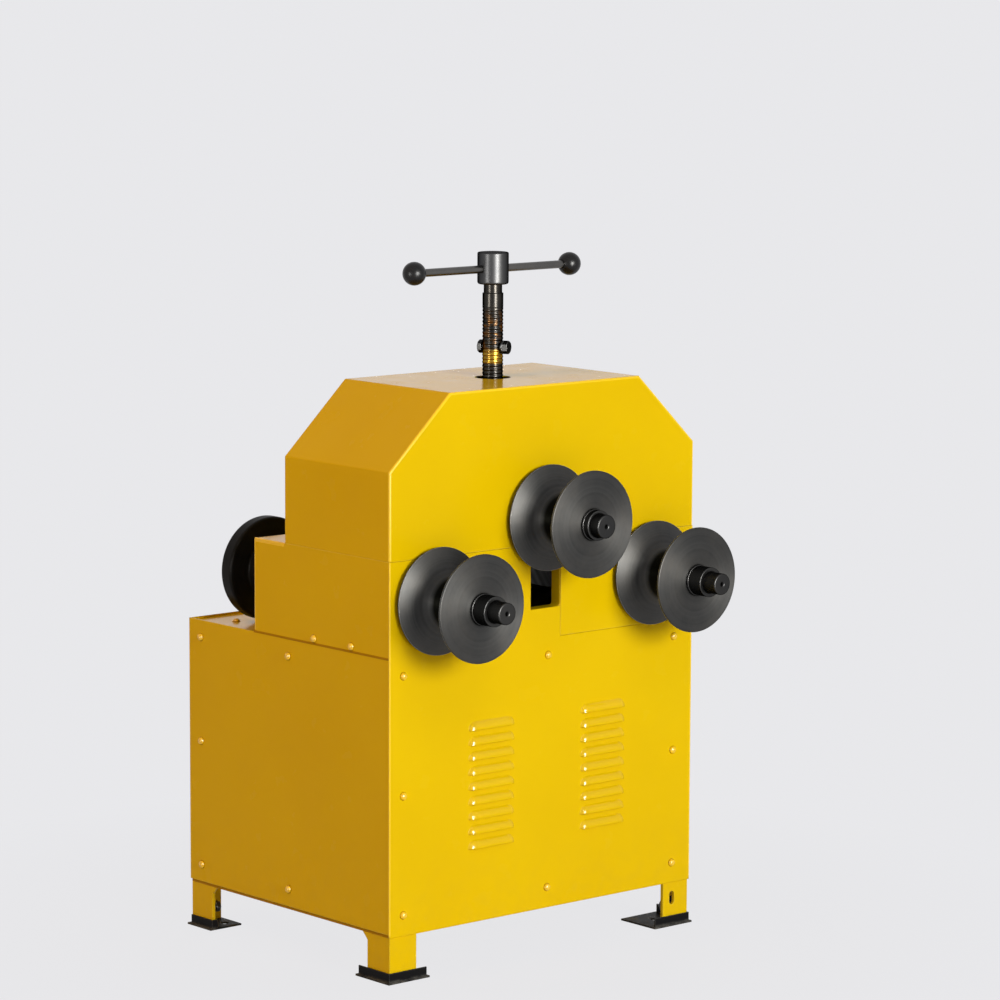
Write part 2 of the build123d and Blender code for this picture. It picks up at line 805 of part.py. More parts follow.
collar_pocket = collar_wall + 2 * free_gap
with BuildPart() as carriage:
    with BuildSketch(at_depth(carriage_back)):
        with Locations((0, top_axis)):
            Rectangle(2 * carriage_half, 2 * carriage_rise)
            Circle(carriage_bore, mode=Mode.SUBTRACT)
    extrude(amount=carriage_back - carriage_front)
    for back in (carriage_front + top_bearing_width, carriage_back):
        with BuildSketch(at_depth(back)):
            with Locations((0, top_axis)):
                Circle(top_bearing_radius)
        extrude(amount=top_bearing_width, mode=Mode.SUBTRACT)
    with Locations((0, y_screw, carriage_top - collar_pocket / 2)):
        Cylinder(collar_radius + free_gap, collar_pocket, mode=Mode.SUBTRACT)
keep(carriage, "carriage")

with BuildPart() as screw_retainer:
    with Locations((0, y_screw, carriage_top + retainer_wall / 2)):
        Box(2 * retainer_half, 2 * retainer_half, retainer_wall)
        Cylinder(screw_radius + free_gap, retainer_wall, mode=Mode.SUBTRACT)
    fillet(edges().filter_by(Axis.Z).filter_by(GeomType.LINE), hub_round)
keep(screw_retainer, "screw_retainer")

with BuildPart() as slide_guides:
    for sx in (-1, 1):
        x = sx * (carriage_half + free_gap + guide_width / 2)
        with Locations((x, (plate_back + mid_front) / 2, (guide_bottom + crosshead_bottom) / 2)):
            Box(guide_width, mid_front - plate_back, crosshead_bottom - guide_bottom)
keep(slide_guides, "slide_guides")

with BuildPart() as crosshead:
    with Locations((0, (plate_back + mid_front) / 2, (crosshead_bottom + tower_top) / 2)):
        Box(2 * crosshead_half, mid_front - plate_back, tower_top - crosshead_bottom)
    with Locations((0, y_screw, tower_top)):
        Cylinder(nut_sleeve_radius + seat_fit, 3 * (tower_top - crosshead_bottom), mode=Mode.SUBTRACT)
keep(crosshead, "crosshead")


def upright(outline):
    # Turned piece on the press screw's axis, from (radius, height) points
    with BuildPart() as piece:
        with BuildSketch(Plane(origin=(0, y_screw, 0), x_dir=(1, 0, 0), z_dir=(0, -1, 0))):
            with BuildLine():
                Polyline(*outline, close=True)
            make_face()
        revolve(axis=Axis((0, y_screw, 0), (0, 0, 1)))
    return piece


nut_bore = screw_radius + running
screw_nut = upright([
    (nut_bore, crosshead_bottom), (nut_sleeve_radius, crosshead_bottom), (nut_sleeve_radius, tower_top),
    (nut_flange_radius, tower_top), (nut_flange_radius, tower_top + nut_flange_wall),
    (nut_bore, tower_top + nut_flange_wall)])
keep(screw_nut, "screw_nut")

# Press screw, handle and stop bolt
collar_bottom = carriage_top - collar_pocket + free_gap
screw_end = bar_level - bar_radius - bar_screw_gap
screw_body = upright([
    (0, collar_bottom), (collar_radius, collar_bottom), (collar_radius, collar_bottom + collar_wall),
    (screw_radius, collar_bottom + collar_wall), (screw_radius, thread_top),
    (screw_neck_radius, thread_top), (screw_neck_radius, screw_end), (0, screw_end)])
stop_away = Vector(math.cos(math.radians(stop_bolt_turn)), -math.sin(math.radians(stop_bolt_turn)), 0)
stop_middle = Vector(0, y_screw, stop_bolt_level)


def stop_plane(reach):
    return Plane(origin=stop_middle + stop_away * reach, x_dir=(0, 0, 1), z_dir=stop_away)


head_seat = screw_radius + stop_washer_wall
with BuildPart() as press_screw:
    add(screw_body.part)
    with BuildSketch(stop_plane(-2 * screw_radius)):
        Circle(stop_bolt_radius + seat_fit)
    extrude(amount=4 * screw_radius, mode=Mode.SUBTRACT)
keep(press_screw, "press_screw")

with BuildPart() as stop_bolt:
    with BuildSketch(stop_plane(-screw_radius - stop_nut_wall)):
        Circle(stop_bolt_radius)
    extrude(amount=screw_radius + stop_nut_wall + head_seat)
    with BuildSketch(stop_plane(screw_radius)):
        Circle(stop_head_radius)
    extrude(amount=stop_washer_wall)
    for start, wall in ((head_seat, stop_head_wall), (-screw_radius - stop_nut_wall, stop_nut_wall)):
        with BuildSketch(stop_plane(start)):
            RegularPolygon(stop_head_radius, 6)
        extrude(amount=wall)
keep(stop_bolt, "stop_bolt")

handle_axis = Plane(origin=(0, y_screw, bar_level), x_dir=(0, 1, 0), z_dir=(1, 0, 0))
with BuildPart() as handle_hub:
    with Locations((0, y_screw, hub_bottom + hub_height / 2)):
        Cylinder(hub_radius, hub_height)
    fillet(edges().group_by(Axis.Z)[0], hub_round)
    fillet(edges().group_by(Axis.Z)[-1], hub_round / 2)
    with BuildSketch(Plane.XY.offset(hub_bottom)):
        with Locations((0, y_screw)):
            Circle(screw_neck_radius + seat_fit)
    extrude(amount=screw_end - hub_bottom, mode=Mode.SUBTRACT)
    with BuildSketch(handle_axis):
        Circle(bar_radius + seat_fit)
    extrude(amount=hub_radius, both=True, mode=Mode.SUBTRACT)
keep(handle_hub, "handle_hub")

bar_half = ball_reach - bar_end_inset
with BuildPart() as handle_bar:
    with BuildSketch(handle_axis):
        Circle(bar_radius)
    extrude(amount=bar_half, both=True)
keep(handle_bar, "handle_bar")

with BuildPart() as handle_knobs:
    with Locations((-ball_reach, y_screw, bar_level), (ball_reach, y_screw, bar_level)):
        Sphere(ball_radius, rotation=(0, 0, 90))
    with BuildSketch(handle_axis):
        Circle(bar_radius + free_gap)
    extrude(amount=bar_half + free_gap, both=True, mode=Mode.SUBTRACT)
keep(handle_knobs, "handle_knobs")

# Drive: output shaft, reducer on its stand, flanged motor
drive_tip = reducer_back - reducer_depth - 2 * reducer_boss_wall
drive_shaft = turned(0, bull_level, [
    (drive_tip, 0), (drive_tip, drive_radius), (gear_back, drive_radius), (gear_back, 0)])
keep(drive_shaft, "drive_shaft")

reducer_bottom = bull_level - reducer_below
flange_x = reducer_width / 2
with BuildPart() as gear_reducer:
    with BuildSketch(at_depth(reducer_back)):
        with Locations((0, bull_level + (reducer_above - reducer_below) / 2)):
            Rectangle(reducer_width, reducer_above + reducer_below)
    extrude(amount=reducer_depth)
    fillet(edges().filter_by(Axis.Y), reducer_bend)
    for back in (reducer_back + reducer_boss_wall, reducer_back - reducer_depth):
        with BuildSketch(at_depth(back)):
            with Locations((0, bull_level)):
                Circle(reducer_boss_radius)
        extrude(amount=reducer_boss_wall)
    with BuildSketch(at_depth(reducer_back + reducer_boss_wall)):
        with Locations((0, bull_level)):
            Circle(drive_radius + running)
    extrude(amount=reducer_depth + 2 * reducer_boss_wall, mode=Mode.SUBTRACT)
keep(gear_reducer, "gear_reducer")

stand_bottom = rail_bottom + rail_wall + base_wall
with BuildPart() as reducer_stand:
    with BuildSketch(at_depth(reducer_back)):
        with Locations((0, (stand_bottom + reducer_bottom) / 2)):
            Rectangle(reducer_width, reducer_bottom - stand_bottom)
            Rectangle(reducer_width - 2 * stand_wall, reducer_bottom - stand_bottom - 2 * stand_wall,
                      mode=Mode.SUBTRACT)
    extrude(amount=reducer_depth)
keep(reducer_stand, "reducer_stand")


def motor_plane(x):
    # Sketch plane across the motor's axis, which runs along X
    return Plane(origin=(x, reducer_mid, worm_level), x_dir=(0, 1, 0), z_dir=(1, 0, 0))


motor_start = flange_x + motor_flange_wall
cowl_start = frame_x - motor_clear - cowl_length
motor_length = cowl_start - motor_start
with BuildPart() as motor:
    with BuildSketch(motor_plane(flange_x)):
        Circle(motor_flange_radius)
    extrude(amount=motor_flange_wall)
    with BuildSketch(motor_plane(motor_start)):
        Circle(motor_radius)
        with PolarLocations((motor_radius + motor_fin_radius - motor_fin_root) / 2, motor_fins):
            Rectangle(motor_fin_radius - motor_radius + motor_fin_root, motor_fin_wall)
    extrude(amount=motor_length)
    with BuildSketch(Plane.XY.offset(worm_level + motor_radius)):
        with Locations((motor_start + motor_length / 2, reducer_mid)):
            Rectangle(terminal_neck, terminal_neck)
    extrude(amount=motor_fin_radius - motor_radius + terminal_lift)
keep(motor, "motor")

with BuildPart() as motor_fan_cowl:
    with BuildSketch(motor_plane(cowl_start)):
        Circle(cowl_radius)
    extrude(amount=cowl_length)
    fillet(edges().group_by(Axis.X)[-1], 2 * cowl_wall)
    offset(amount=-cowl_wall, openings=faces().sort_by(Axis.X)[:1])
    with BuildSketch(motor_plane(cowl_start + cowl_length - 2 * cowl_wall)):
        with PolarLocations(cowl_radius / 2, cowl_slots):
            SlotOverall(cowl_radius / 2, 2 * cowl_wall)
    extrude(amount=3 * cowl_wall, mode=Mode.SUBTRACT)
keep(motor_fan_cowl, "motor_fan_cowl")

with BuildPart() as motor_terminal_box:
    with BuildSketch(Plane.XY.offset(worm_level + motor_fin_radius + terminal_lift)):
        with Locations((motor_start + motor_length / 2, reducer_mid)):
            RectangleRounded(terminal_box, terminal_box, terminal_round)
    extrude(amount=terminal_height)
    chamfer(edges().group_by(Axis.Z)[-1], terminal_round / 2)
keep(motor_terminal_box, "motor_terminal_box")

# Domed panel screws, one head on each screw place
dome_middle = (screw_head_radius * screw_dome, screw_head_height * screw_dome_height)
dome = [(0, 0), (0, screw_head_height), dome_middle, (screw_head_radius, 0)]
with BuildPart() as screw_blank:
    with BuildSketch(Plane.XZ):
        with BuildLine():
            Line(dome[0], dome[1])
            ThreePointArc(dome[1], dome[2], dome[3])
            Polyline(dome[3], (screw_shank_radius, 0), (screw_shank_radius, -sheet), (0, -sheet), dome[0])
        make_face()
    revolve(axis=Axis.Z)

screw_faces = [Plane(origin=(x, y_front, z), x_dir=(1, 0, 0), z_dir=(0, -1, 0)) for x, z in front_screws]
screw_faces += [Plane(origin=(x, y_back, z), x_dir=(1, 0, 0), z_dir=(0, 1, 0)) for x, z in rear_screws]
screw_faces += [
    Plane(origin=(sx * half_width, y, z), x_dir=(0, 1, 0), z_dir=(sx, 0, 0))
    for sx in (-1, 1) for y, z in side_screws + case_screws
]
deck_top = rail_top + deck_wall
screw_faces += [Plane(origin=(x, y, deck_top), x_dir=(1, 0, 0), z_dir=(0, 0, 1)) for x, y in deck_screws]
with BuildPart() as panel_screws:
    with Locations(*screw_faces):
        add(screw_blank.part)
keep(panel_screws, "panel_screws")

# Forward, stop and reverse switch on the right side
switch_face = half_width + switch_depth
with BuildPart() as switch_box:
    with Locations((half_width + switch_depth / 2, switch_y, switch_level)):
        Box(switch_depth, switch_width, switch_height)
    fillet(edges().filter_by(Axis.X) + edges().group_by(Axis.X)[-1], switch_bend)
    with BuildSketch(Plane(origin=(switch_face, switch_y, switch_level), x_dir=(0, 1, 0), z_dir=(1, 0, 0))):
        Circle(spindle_radius + running)
    extrude(amount=-spindle_length - free_gap, mode=Mode.SUBTRACT)
keep(switch_box, "switch_box")

knob_plane = Plane(
    origin=(switch_face + free_gap, switch_y, switch_level), x_dir=(0, 1, 0), z_dir=(1, 0, 0))
with BuildPart() as switch_knob:
    with BuildSketch(knob_plane):
        Circle(knob_radius)
    extrude(amount=knob_wall)
    chamfer(edges().group_by(Axis.X)[-1], knob_chamfer)
    with BuildSketch(knob_plane):
        SlotOverall(2 * (knob_radius - knob_grip_inset), knob_grip_width, rotation=90)
    extrude(amount=knob_wall + knob_grip)
    with BuildSketch(knob_plane):
        Circle(spindle_radius)
    extrude(amount=-spindle_length)
keep(switch_knob, "switch_knob")

with BuildPart() as cable_gland:
    with BuildSketch(at_depth(y_back + gland_hex_wall)):
        with Locations((gland_x, gland_level)):
            RegularPolygon(gland_hex_radius, 6)
    extrude(amount=gland_hex_wall)
    with BuildSketch(at_depth(y_back + gland_length)):
        with Locations((gland_x, gland_level)):
            Circle(gland_radius)
    extrude(amount=gland_length - gland_hex_wall)
    fillet(edges().group_by(Axis.Y)[-1], gland_round)
    with BuildSketch(at_depth(y_back + gland_length)):
        with Locations((gland_x, gland_level)):
            Circle(gland_bore)
    extrude(amount=gland_length, mode=Mode.SUBTRACT)
keep(cable_gland, "cable_gland")
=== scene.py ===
import math

import bmesh
import bpy
from mathutils import Matrix, Vector


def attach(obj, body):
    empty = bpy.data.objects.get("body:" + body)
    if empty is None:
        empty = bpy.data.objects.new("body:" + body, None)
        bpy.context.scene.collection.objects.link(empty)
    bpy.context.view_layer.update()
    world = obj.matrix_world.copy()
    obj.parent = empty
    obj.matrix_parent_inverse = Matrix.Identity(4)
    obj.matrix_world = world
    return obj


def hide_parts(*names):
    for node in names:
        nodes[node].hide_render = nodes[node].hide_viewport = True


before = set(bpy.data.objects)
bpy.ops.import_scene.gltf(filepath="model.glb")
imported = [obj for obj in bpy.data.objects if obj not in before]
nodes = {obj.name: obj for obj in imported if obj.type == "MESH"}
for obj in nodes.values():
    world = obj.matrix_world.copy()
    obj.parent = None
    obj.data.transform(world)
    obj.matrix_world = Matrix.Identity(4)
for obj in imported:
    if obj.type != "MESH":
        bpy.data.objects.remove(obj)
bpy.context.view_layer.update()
mm = 0.001
print("frame loaded:", len(nodes), "nodes")


# Node helpers that every material below is made with
def addNode(tree, kind, settings=None, inputs=None):
    node = tree.nodes.new(kind)
    for key, value in (settings or {}).items():
        setattr(node, key, value)
    for key, value in (inputs or {}).items():
        setSocket(tree, node.inputs[key], value)
    return node


def setSocket(tree, socket, value):
    if isinstance(value, bpy.types.NodeSocket):
        tree.links.new(value, socket)
    else:
        socket.default_value = value


def mathNode(tree, operation, a, b=0.0):
    return addNode(tree, "ShaderNodeMath", {"operation": operation}, {0: a, 1: b}).outputs[0]


def vectorNode(tree, operation, inputs):
    return addNode(tree, "ShaderNodeVectorMath", {"operation": operation}, inputs).outputs


def remap(tree, value, fromMin, fromMax, toMin, toMax):
    return addNode(tree, "ShaderNodeMapRange", {}, {
        "Value": value, "From Min": fromMin, "From Max": fromMax, "To Min": toMin, "To Max": toMax}).outputs["Result"]


def noiseValue(tree, vector, scale, detail=3.0, roughness=0.55):
    return addNode(tree, "ShaderNodeTexNoise", {}, {
        "Vector": vector, "Scale": scale, "Detail": detail, "Roughness": roughness}).outputs["Fac"]


def mixColour(tree, factor, first, second, blend="MIX"):
    node = addNode(tree, "ShaderNodeMix", {"data_type": "RGBA", "blend_type": blend})
    colourA, colourB, result = 6, 7, 2  # the colour sockets' places on this node
    for place, value in ((0, factor), (colourA, first), (colourB, second)):
        setSocket(tree, node.inputs[place], value)
    return node.outputs[result]


def objectPlace(tree):
    return addNode(tree, "ShaderNodeTexCoord").outputs["Object"]


def axisOf(tree, vector, axis):
    return addNode(tree, "ShaderNodeSeparateXYZ", {}, {0: vector}).outputs[axis]


def makeGroup(name, inputs, outputs):
    tree = bpy.data.node_groups.new(name, "ShaderNodeTree")
    for label, kind, value in inputs:
        tree.interface.new_socket(label, in_out="INPUT", socket_type=kind).default_value = value
    for label, kind in outputs:
        tree.interface.new_socket(label, in_out="OUTPUT", socket_type=kind)
    return tree, tree.nodes.new("NodeGroupInput").outputs, tree.nodes.new("NodeGroupOutput").inputs


def placeGroup(tree, group, inputs=None):
    return addNode(tree, "ShaderNodeGroup", {"node_tree": group}, inputs).outputs


# Rounded edges: a mask along them, and the rounded normal
edgeShape = {"samples": 6, "turn": (0.985, 0.80), "noiseDetail": 4.0, "noiseRange": (0.40, 0.62)}


def edgeGroup(spec):
    tree, given, out = makeGroup("edgeCatch", [
        ("Radius", "NodeSocketFloat", 0.0015), ("Breakup", "NodeSocketFloat", 60.0), ("BreakupShare", "NodeSocketFloat", 1.0)],
        [("Mask", "NodeSocketFloat"), ("Normal", "NodeSocketVector")])
    bevel = addNode(tree, "ShaderNodeBevel", {"samples": spec["samples"]}, {"Radius": given["Radius"]})
    rounded = bevel.outputs["Normal"]
    plain = addNode(tree, "ShaderNodeNewGeometry").outputs["Normal"]
    facing = vectorNode(tree, "DOT_PRODUCT", {0: rounded, 1: plain})["Value"]
    edge = remap(tree, facing, *spec["turn"], 0.0, 1.0)
    noise = noiseValue(tree, objectPlace(tree), given["Breakup"], spec["noiseDetail"])
    whole = mathNode(tree, "SUBTRACT", 1.0, given["BreakupShare"])
    broken = remap(tree, noise, *spec["noiseRange"], whole, 1.0)
    tree.links.new(mathNode(tree, "MULTIPLY", edge, broken), out["Mask"])
    tree.links.new(rounded, out["Normal"])
    return tree


# Sprayed paint: slow colour drift, fine peel, uneven gloss
paintShape = {
    "driftScale": 3.5, "driftDetail": 2.0, "driftTint": (0.90, 0.84, 0.75, 1), "noiseRange": (0.3, 0.7),
    "cloudScale": 22.0, "cloudDetail": 5.0, "cloudGloss": (-0.05, 0.06), "peelDetail": 2.0}


def paintGroup(spec):
    tree, given, out = makeGroup("sprayedCoat", [
        ("Colour", "NodeSocketColor", (0.8, 0.5, 0.0, 1)), ("Drift", "NodeSocketFloat", 0.12),
        ("Peel", "NodeSocketFloat", 700.0), ("Gloss", "NodeSocketFloat", 0.3)],
        [("Colour", "NodeSocketColor"), ("Roughness", "NodeSocketFloat"), ("Height", "NodeSocketFloat")])
    where = objectPlace(tree)
    slow = remap(tree, noiseValue(tree, where, spec["driftScale"], spec["driftDetail"]), *spec["noiseRange"], 0.0, 1.0)
    deeper = mixColour(tree, 1.0, given["Colour"], spec["driftTint"], "MULTIPLY")
    drift = mathNode(tree, "MULTIPLY", slow, given["Drift"])
    tree.links.new(mixColour(tree, drift, given["Colour"], deeper), out["Colour"])
    clouds = noiseValue(tree, where, spec["cloudScale"], spec["cloudDetail"])
    cloud = remap(tree, clouds, *spec["noiseRange"], *spec["cloudGloss"])
    tree.links.new(mathNode(tree, "ADD", given["Gloss"], cloud), out["Roughness"])
    tree.links.new(noiseValue(tree, where, given["Peel"], spec["peelDetail"]), out["Height"])
    return tree


# Dust and scuffs that gather towards the floor
dustShape = {"scale": 34.0, "detail": 6.0, "roughness": 0.65, "noiseRange": (0.42, 0.68)}


def floorGroup(spec):
    tree, given, out = makeGroup("floorDust", [
        ("Reach", "NodeSocketFloat", 0.25), ("Amount", "NodeSocketFloat", 0.3)], [("Mask", "NodeSocketFloat")])
    where = objectPlace(tree)
    height = axisOf(tree, where, "Z")
    low = remap(tree, mathNode(tree, "DIVIDE", height, given["Reach"]), 0.0, 1.0, 1.0, 0.0)
    noise = noiseValue(tree, where, spec["scale"], spec["detail"], spec["roughness"])
    patches = remap(tree, noise, *spec["noiseRange"], 0.0, 1.0)
    mask = mathNode(tree, "MULTIPLY", mathNode(tree, "MULTIPLY", low, patches), given["Amount"])
    tree.links.new(mask, out["Mask"])
    return tree


# Lathe rings round a turned piece's own middle, and a band in its groove for painted shadow, both from its bounding box
latheShape = {
    "middle": (0.5, 0.5, 0.5), "flatten": (1, 0, 1), "slant": 0.6, "scale": 2.0, "grooveNear": (-0.46, -0.44),
    "grooveFar": (0.19, 0.25), "lines": {"Lines": (1.0, 3.0), "Bands": (0.09, 2.0)}}


def latheGroup(spec):
    tree, given, out = makeGroup("latheRings", [
        ("Rings", "NodeSocketFloat", 60.0)], [
        ("Lines", "NodeSocketFloat"), ("Bands", "NodeSocketFloat"), ("GrooveShade", "NodeSocketFloat")])
    where = addNode(tree, "ShaderNodeTexCoord").outputs["Generated"]
    offset = vectorNode(tree, "SUBTRACT", {0: where, 1: spec["middle"]})[0]
    flat = vectorNode(tree, "MULTIPLY", {0: offset, 1: spec["flatten"]})[0]
    radius = vectorNode(tree, "LENGTH", {0: flat})["Value"]
    along = axisOf(tree, offset, "Y")
    step = mathNode(tree, "ADD", radius, mathNode(tree, "MULTIPLY", along, spec["slant"]))
    for label, (factor, detail) in spec["lines"].items():
        phase = mathNode(tree, "MULTIPLY", step, mathNode(tree, "MULTIPLY", given["Rings"], factor))
        rings = addNode(tree, "ShaderNodeTexNoise", {"noise_dimensions": "1D"}, {
            "W": phase, "Scale": spec["scale"], "Detail": detail})
        tree.links.new(rings.outputs["Fac"], out[label])
    nearSide = remap(tree, along, *spec["grooveNear"], 0.0, 1.0)
    farSide = remap(tree, along, *spec["grooveFar"], 1.0, 0.0)
    tree.links.new(mathNode(tree, "MULTIPLY", nearSide, farSide), out["GrooveShade"])
    return tree


# Cloudy patches, as on oiled or blackened steel
bloomShape = {"detail": 6.0, "roughness": 0.62, "noiseRange": (0.38, 0.68)}


def bloomGroup(spec):
    tree, given, out = makeGroup("steelBloom", [
        ("Colour", "NodeSocketColor", (0.1, 0.1, 0.1, 1)), ("Patch", "NodeSocketColor", (0.2, 0.19, 0.18, 1)),
        ("Scale", "NodeSocketFloat", 30.0), ("Amount", "NodeSocketFloat", 0.5)], [("Colour", "NodeSocketColor")])
    noise = noiseValue(tree, objectPlace(tree), given["Scale"], spec["detail"], spec["roughness"])
    patches = remap(tree, noise, *spec["noiseRange"], 0.0, 1.0)
    mask = mathNode(tree, "MULTIPLY", patches, given["Amount"])
    tree.links.new(mixColour(tree, mask, given["Colour"], given["Patch"]), out["Colour"])
    return tree


edgeCatch, sprayedCoat, floorDust = edgeGroup(edgeShape), paintGroup(paintShape), floorGroup(dustShape)
latheRings, steelBloom = latheGroup(latheShape), bloomGroup(bloomShape)


# Painted and bare metal; each look's own values are in the dictionaries below
paintFinish = {"refraction": 1.5, "facingBlend": 0.5, "edgeBreakup": 45.0, "peelDepth": 0.00012, "dustRoughness": 0.5}
steelFinish = {
    "grainTurn": 0.25, "edgeBreakup": 90.0, "bandRange": (0.35, 0.65), "lineRange": (0.3, 0.7),
    "lineGloss": (-0.06, 0.08), "lineDepth": 0.0002, "heightTintDetail": 3.0}


def newMaterial(name, constants):
    material = bpy.data.materials.new(name)
    material.use_nodes = True
    tree = material.node_tree
    shader = tree.nodes["Principled BSDF"]
    for key, value in constants.items():
        shader.inputs[key].default_value = value
    return material, tree, shader


def bumpInto(tree, shader, height, distance, strength, normal):
    bump = addNode(tree, "ShaderNodeBump", {}, {
        "Height": height, "Distance": distance, "Strength": strength, "Normal": normal})
    tree.links.new(bump.outputs["Normal"], shader.inputs["Normal"])


def paintMaterial(name, look, finish):
    material, tree, shader = newMaterial(name, {
        "Coat Roughness": look["coatRoughness"], "IOR": finish["refraction"], "Specular IOR Level": look["shine"]})
    facing = addNode(tree, "ShaderNodeLayerWeight", {}, {"Blend": finish["facingBlend"]}).outputs["Facing"]
    gloss = remap(tree, facing, *look["coatFrom"], 0.0, look["coat"])
    if look["tipCoat"] > 0:
        # Louvres are glossier than the flat sheet where they turn left or up
        normal = addNode(tree, "ShaderNodeNewGeometry").outputs["Normal"]
        axes = addNode(tree, "ShaderNodeSeparateXYZ", {}, {0: normal}).outputs
        turned = mathNode(tree, "MAXIMUM", mathNode(tree, "MULTIPLY", axes["X"], -1.0), axes["Z"])
        gloss = mathNode(tree, "MAXIMUM", gloss, remap(tree, turned, *look["tipFrom"], 0.0, look["tipCoat"]))
    tree.links.new(gloss, shader.inputs["Coat Weight"])
    skin = placeGroup(tree, sprayedCoat, {
        "Colour": look["colour"], "Drift": look["drift"], "Peel": look["peel"], "Gloss": look["gloss"]})
    edge = placeGroup(tree, edgeCatch, {
        "Radius": look["edgeRadius"], "Breakup": finish["edgeBreakup"], "BreakupShare": look["edgeBreakupShare"]})
    dust = placeGroup(tree, floorDust, {"Reach": look["dustReach"], "Amount": look["dustAmount"]})
    # Edges mix towards the edge colour: a painted highlight on the yellow sheet, worn edges on the black parts
    edgeMask = mathNode(tree, "MULTIPLY", edge["Mask"], look["edgeAmount"])
    lit = mixColour(tree, edgeMask, skin["Colour"], look["edgeColour"])
    tree.links.new(mixColour(tree, dust["Mask"], lit, look["dustColour"]), shader.inputs["Base Color"])
    dulled = mathNode(tree, "MULTIPLY", dust["Mask"], finish["dustRoughness"])
    tree.links.new(mathNode(tree, "ADD", skin["Roughness"], dulled), shader.inputs["Roughness"])
    bumpInto(tree, shader, skin["Height"], finish["peelDepth"], look["peelBump"], edge["Normal"])
    return material


def heightTintBands(tree, colour, heightTints, finish):
    # An amber band, a painted reflection of the yellow hood top, and a brown band, each tinted between two heights of
    # the piece
    where = objectPlace(tree)
    height = axisOf(tree, where, "Z")
    for heightTint in heightTints:
        start, full, fade, end = heightTint["levels"]
        rising, falling = remap(tree, height, start, full, 0.0, 1.0), remap(tree, height, fade, end, 1.0, 0.0)
        noise = noiseValue(tree, where, heightTint["scale"], finish["heightTintDetail"])
        patches = remap(tree, noise, *heightTint["breakup"], heightTint["least"], 1.0)
        band = mathNode(tree, "MULTIPLY", mathNode(tree, "MULTIPLY", rising, falling), patches)
        colour = mixColour(tree, mathNode(tree, "MULTIPLY", band, heightTint["amount"]), colour, heightTint["colour"])
    return colour


def steelMaterial(name, look, finish):
    material, tree, shader = newMaterial(name, {
        "Metallic": look["metal"], "Anisotropic": look["grain"], "Anisotropic Rotation": finish["grainTurn"],
        "Specular Tint": look["rimTint"], "Specular IOR Level": look["shine"]})
    bloom = placeGroup(tree, steelBloom, {
        "Colour": look["colour"], "Patch": look["patch"], "Scale": look["patchScale"], "Amount": look["patchAmount"]})
    rings = placeGroup(tree, latheRings, {"Rings": look["rings"]})
    edge = placeGroup(tree, edgeCatch, {
        "Radius": look["edgeRadius"], "Breakup": finish["edgeBreakup"], "BreakupShare": look["edgeBreakupShare"]})
    bands = remap(tree, rings["Bands"], *finish["bandRange"], 0.0, look["bandAmount"])
    colour = mixColour(tree, bands, bloom["Colour"], look["bandColour"])
    # Lighter rims: partly worn bright steel, partly a painted highlight along the edges
    edgeMask = mathNode(tree, "MULTIPLY", edge["Mask"], look["edgeAmount"])
    colour = mixColour(tree, edgeMask, colour, look["edgeColour"])
    # Painted shadow: the groove's bottom and near flank darken, standing in for the front disc's shade
    shadedGroove = mathNode(tree, "MULTIPLY", rings["GrooveShade"], look["grooveShade"])
    colour = mixColour(tree, shadedGroove, colour, look["grooveShadeColour"])
    if look["heightTints"]:
        colour = heightTintBands(tree, colour, look["heightTints"], finish)
    tree.links.new(colour, shader.inputs["Base Color"])
    least, most = finish["lineGloss"]
    roughness = remap(tree, rings["Lines"], *finish["lineRange"], look["gloss"] + least, look["gloss"] + most)
    tree.links.new(roughness, shader.inputs["Roughness"])
    bumpInto(tree, shader, rings["Lines"], finish["lineDepth"], look["ringBump"], edge["Normal"])
    if look["grain"] > 0:
        tangent = addNode(tree, "ShaderNodeTangent", {"direction_type": "RADIAL", "axis": look["axis"]})
        tree.links.new(tangent.outputs[0], shader.inputs["Tangent"])
    return material


def grey(level):
    return (level, level, level, 1)


cabinetPaint = {
    "colour": (0.82, 0.550, 0.001, 1), "drift": 0.4, "peel": 650.0, "peelBump": 0.05, "gloss": 0.23, "shine": 0.05,
    "coat": 0.42, "coatRoughness": 0.10, "coatFrom": (0.60, 0.90), "tipCoat": 0.0, "tipFrom": (0.10, 0.30),
    "edgeRadius": 0.0026, "edgeAmount": 0.85, "edgeBreakupShare": 0.2, "edgeColour": (1.0, 0.76, 0.07, 1),
    "dustReach": 0.22, "dustAmount": 0.10, "dustColour": (0.42, 0.28, 0.06, 1)}
louvrePaint = dict(cabinetPaint, tipCoat=0.40, edgeAmount=0.0)
domePaint = dict(cabinetPaint, colour=(0.95, 0.62, 0.01, 1), gloss=0.22, shine=0.6, edgeAmount=0.0)
# Painted highlight: a lighter yellow for the rods on the folded edges
foldHighlightPaint = dict(cabinetPaint, colour=(0.98, 0.68, 0.02, 1), gloss=0.32, shine=0.19, edgeAmount=0.0)
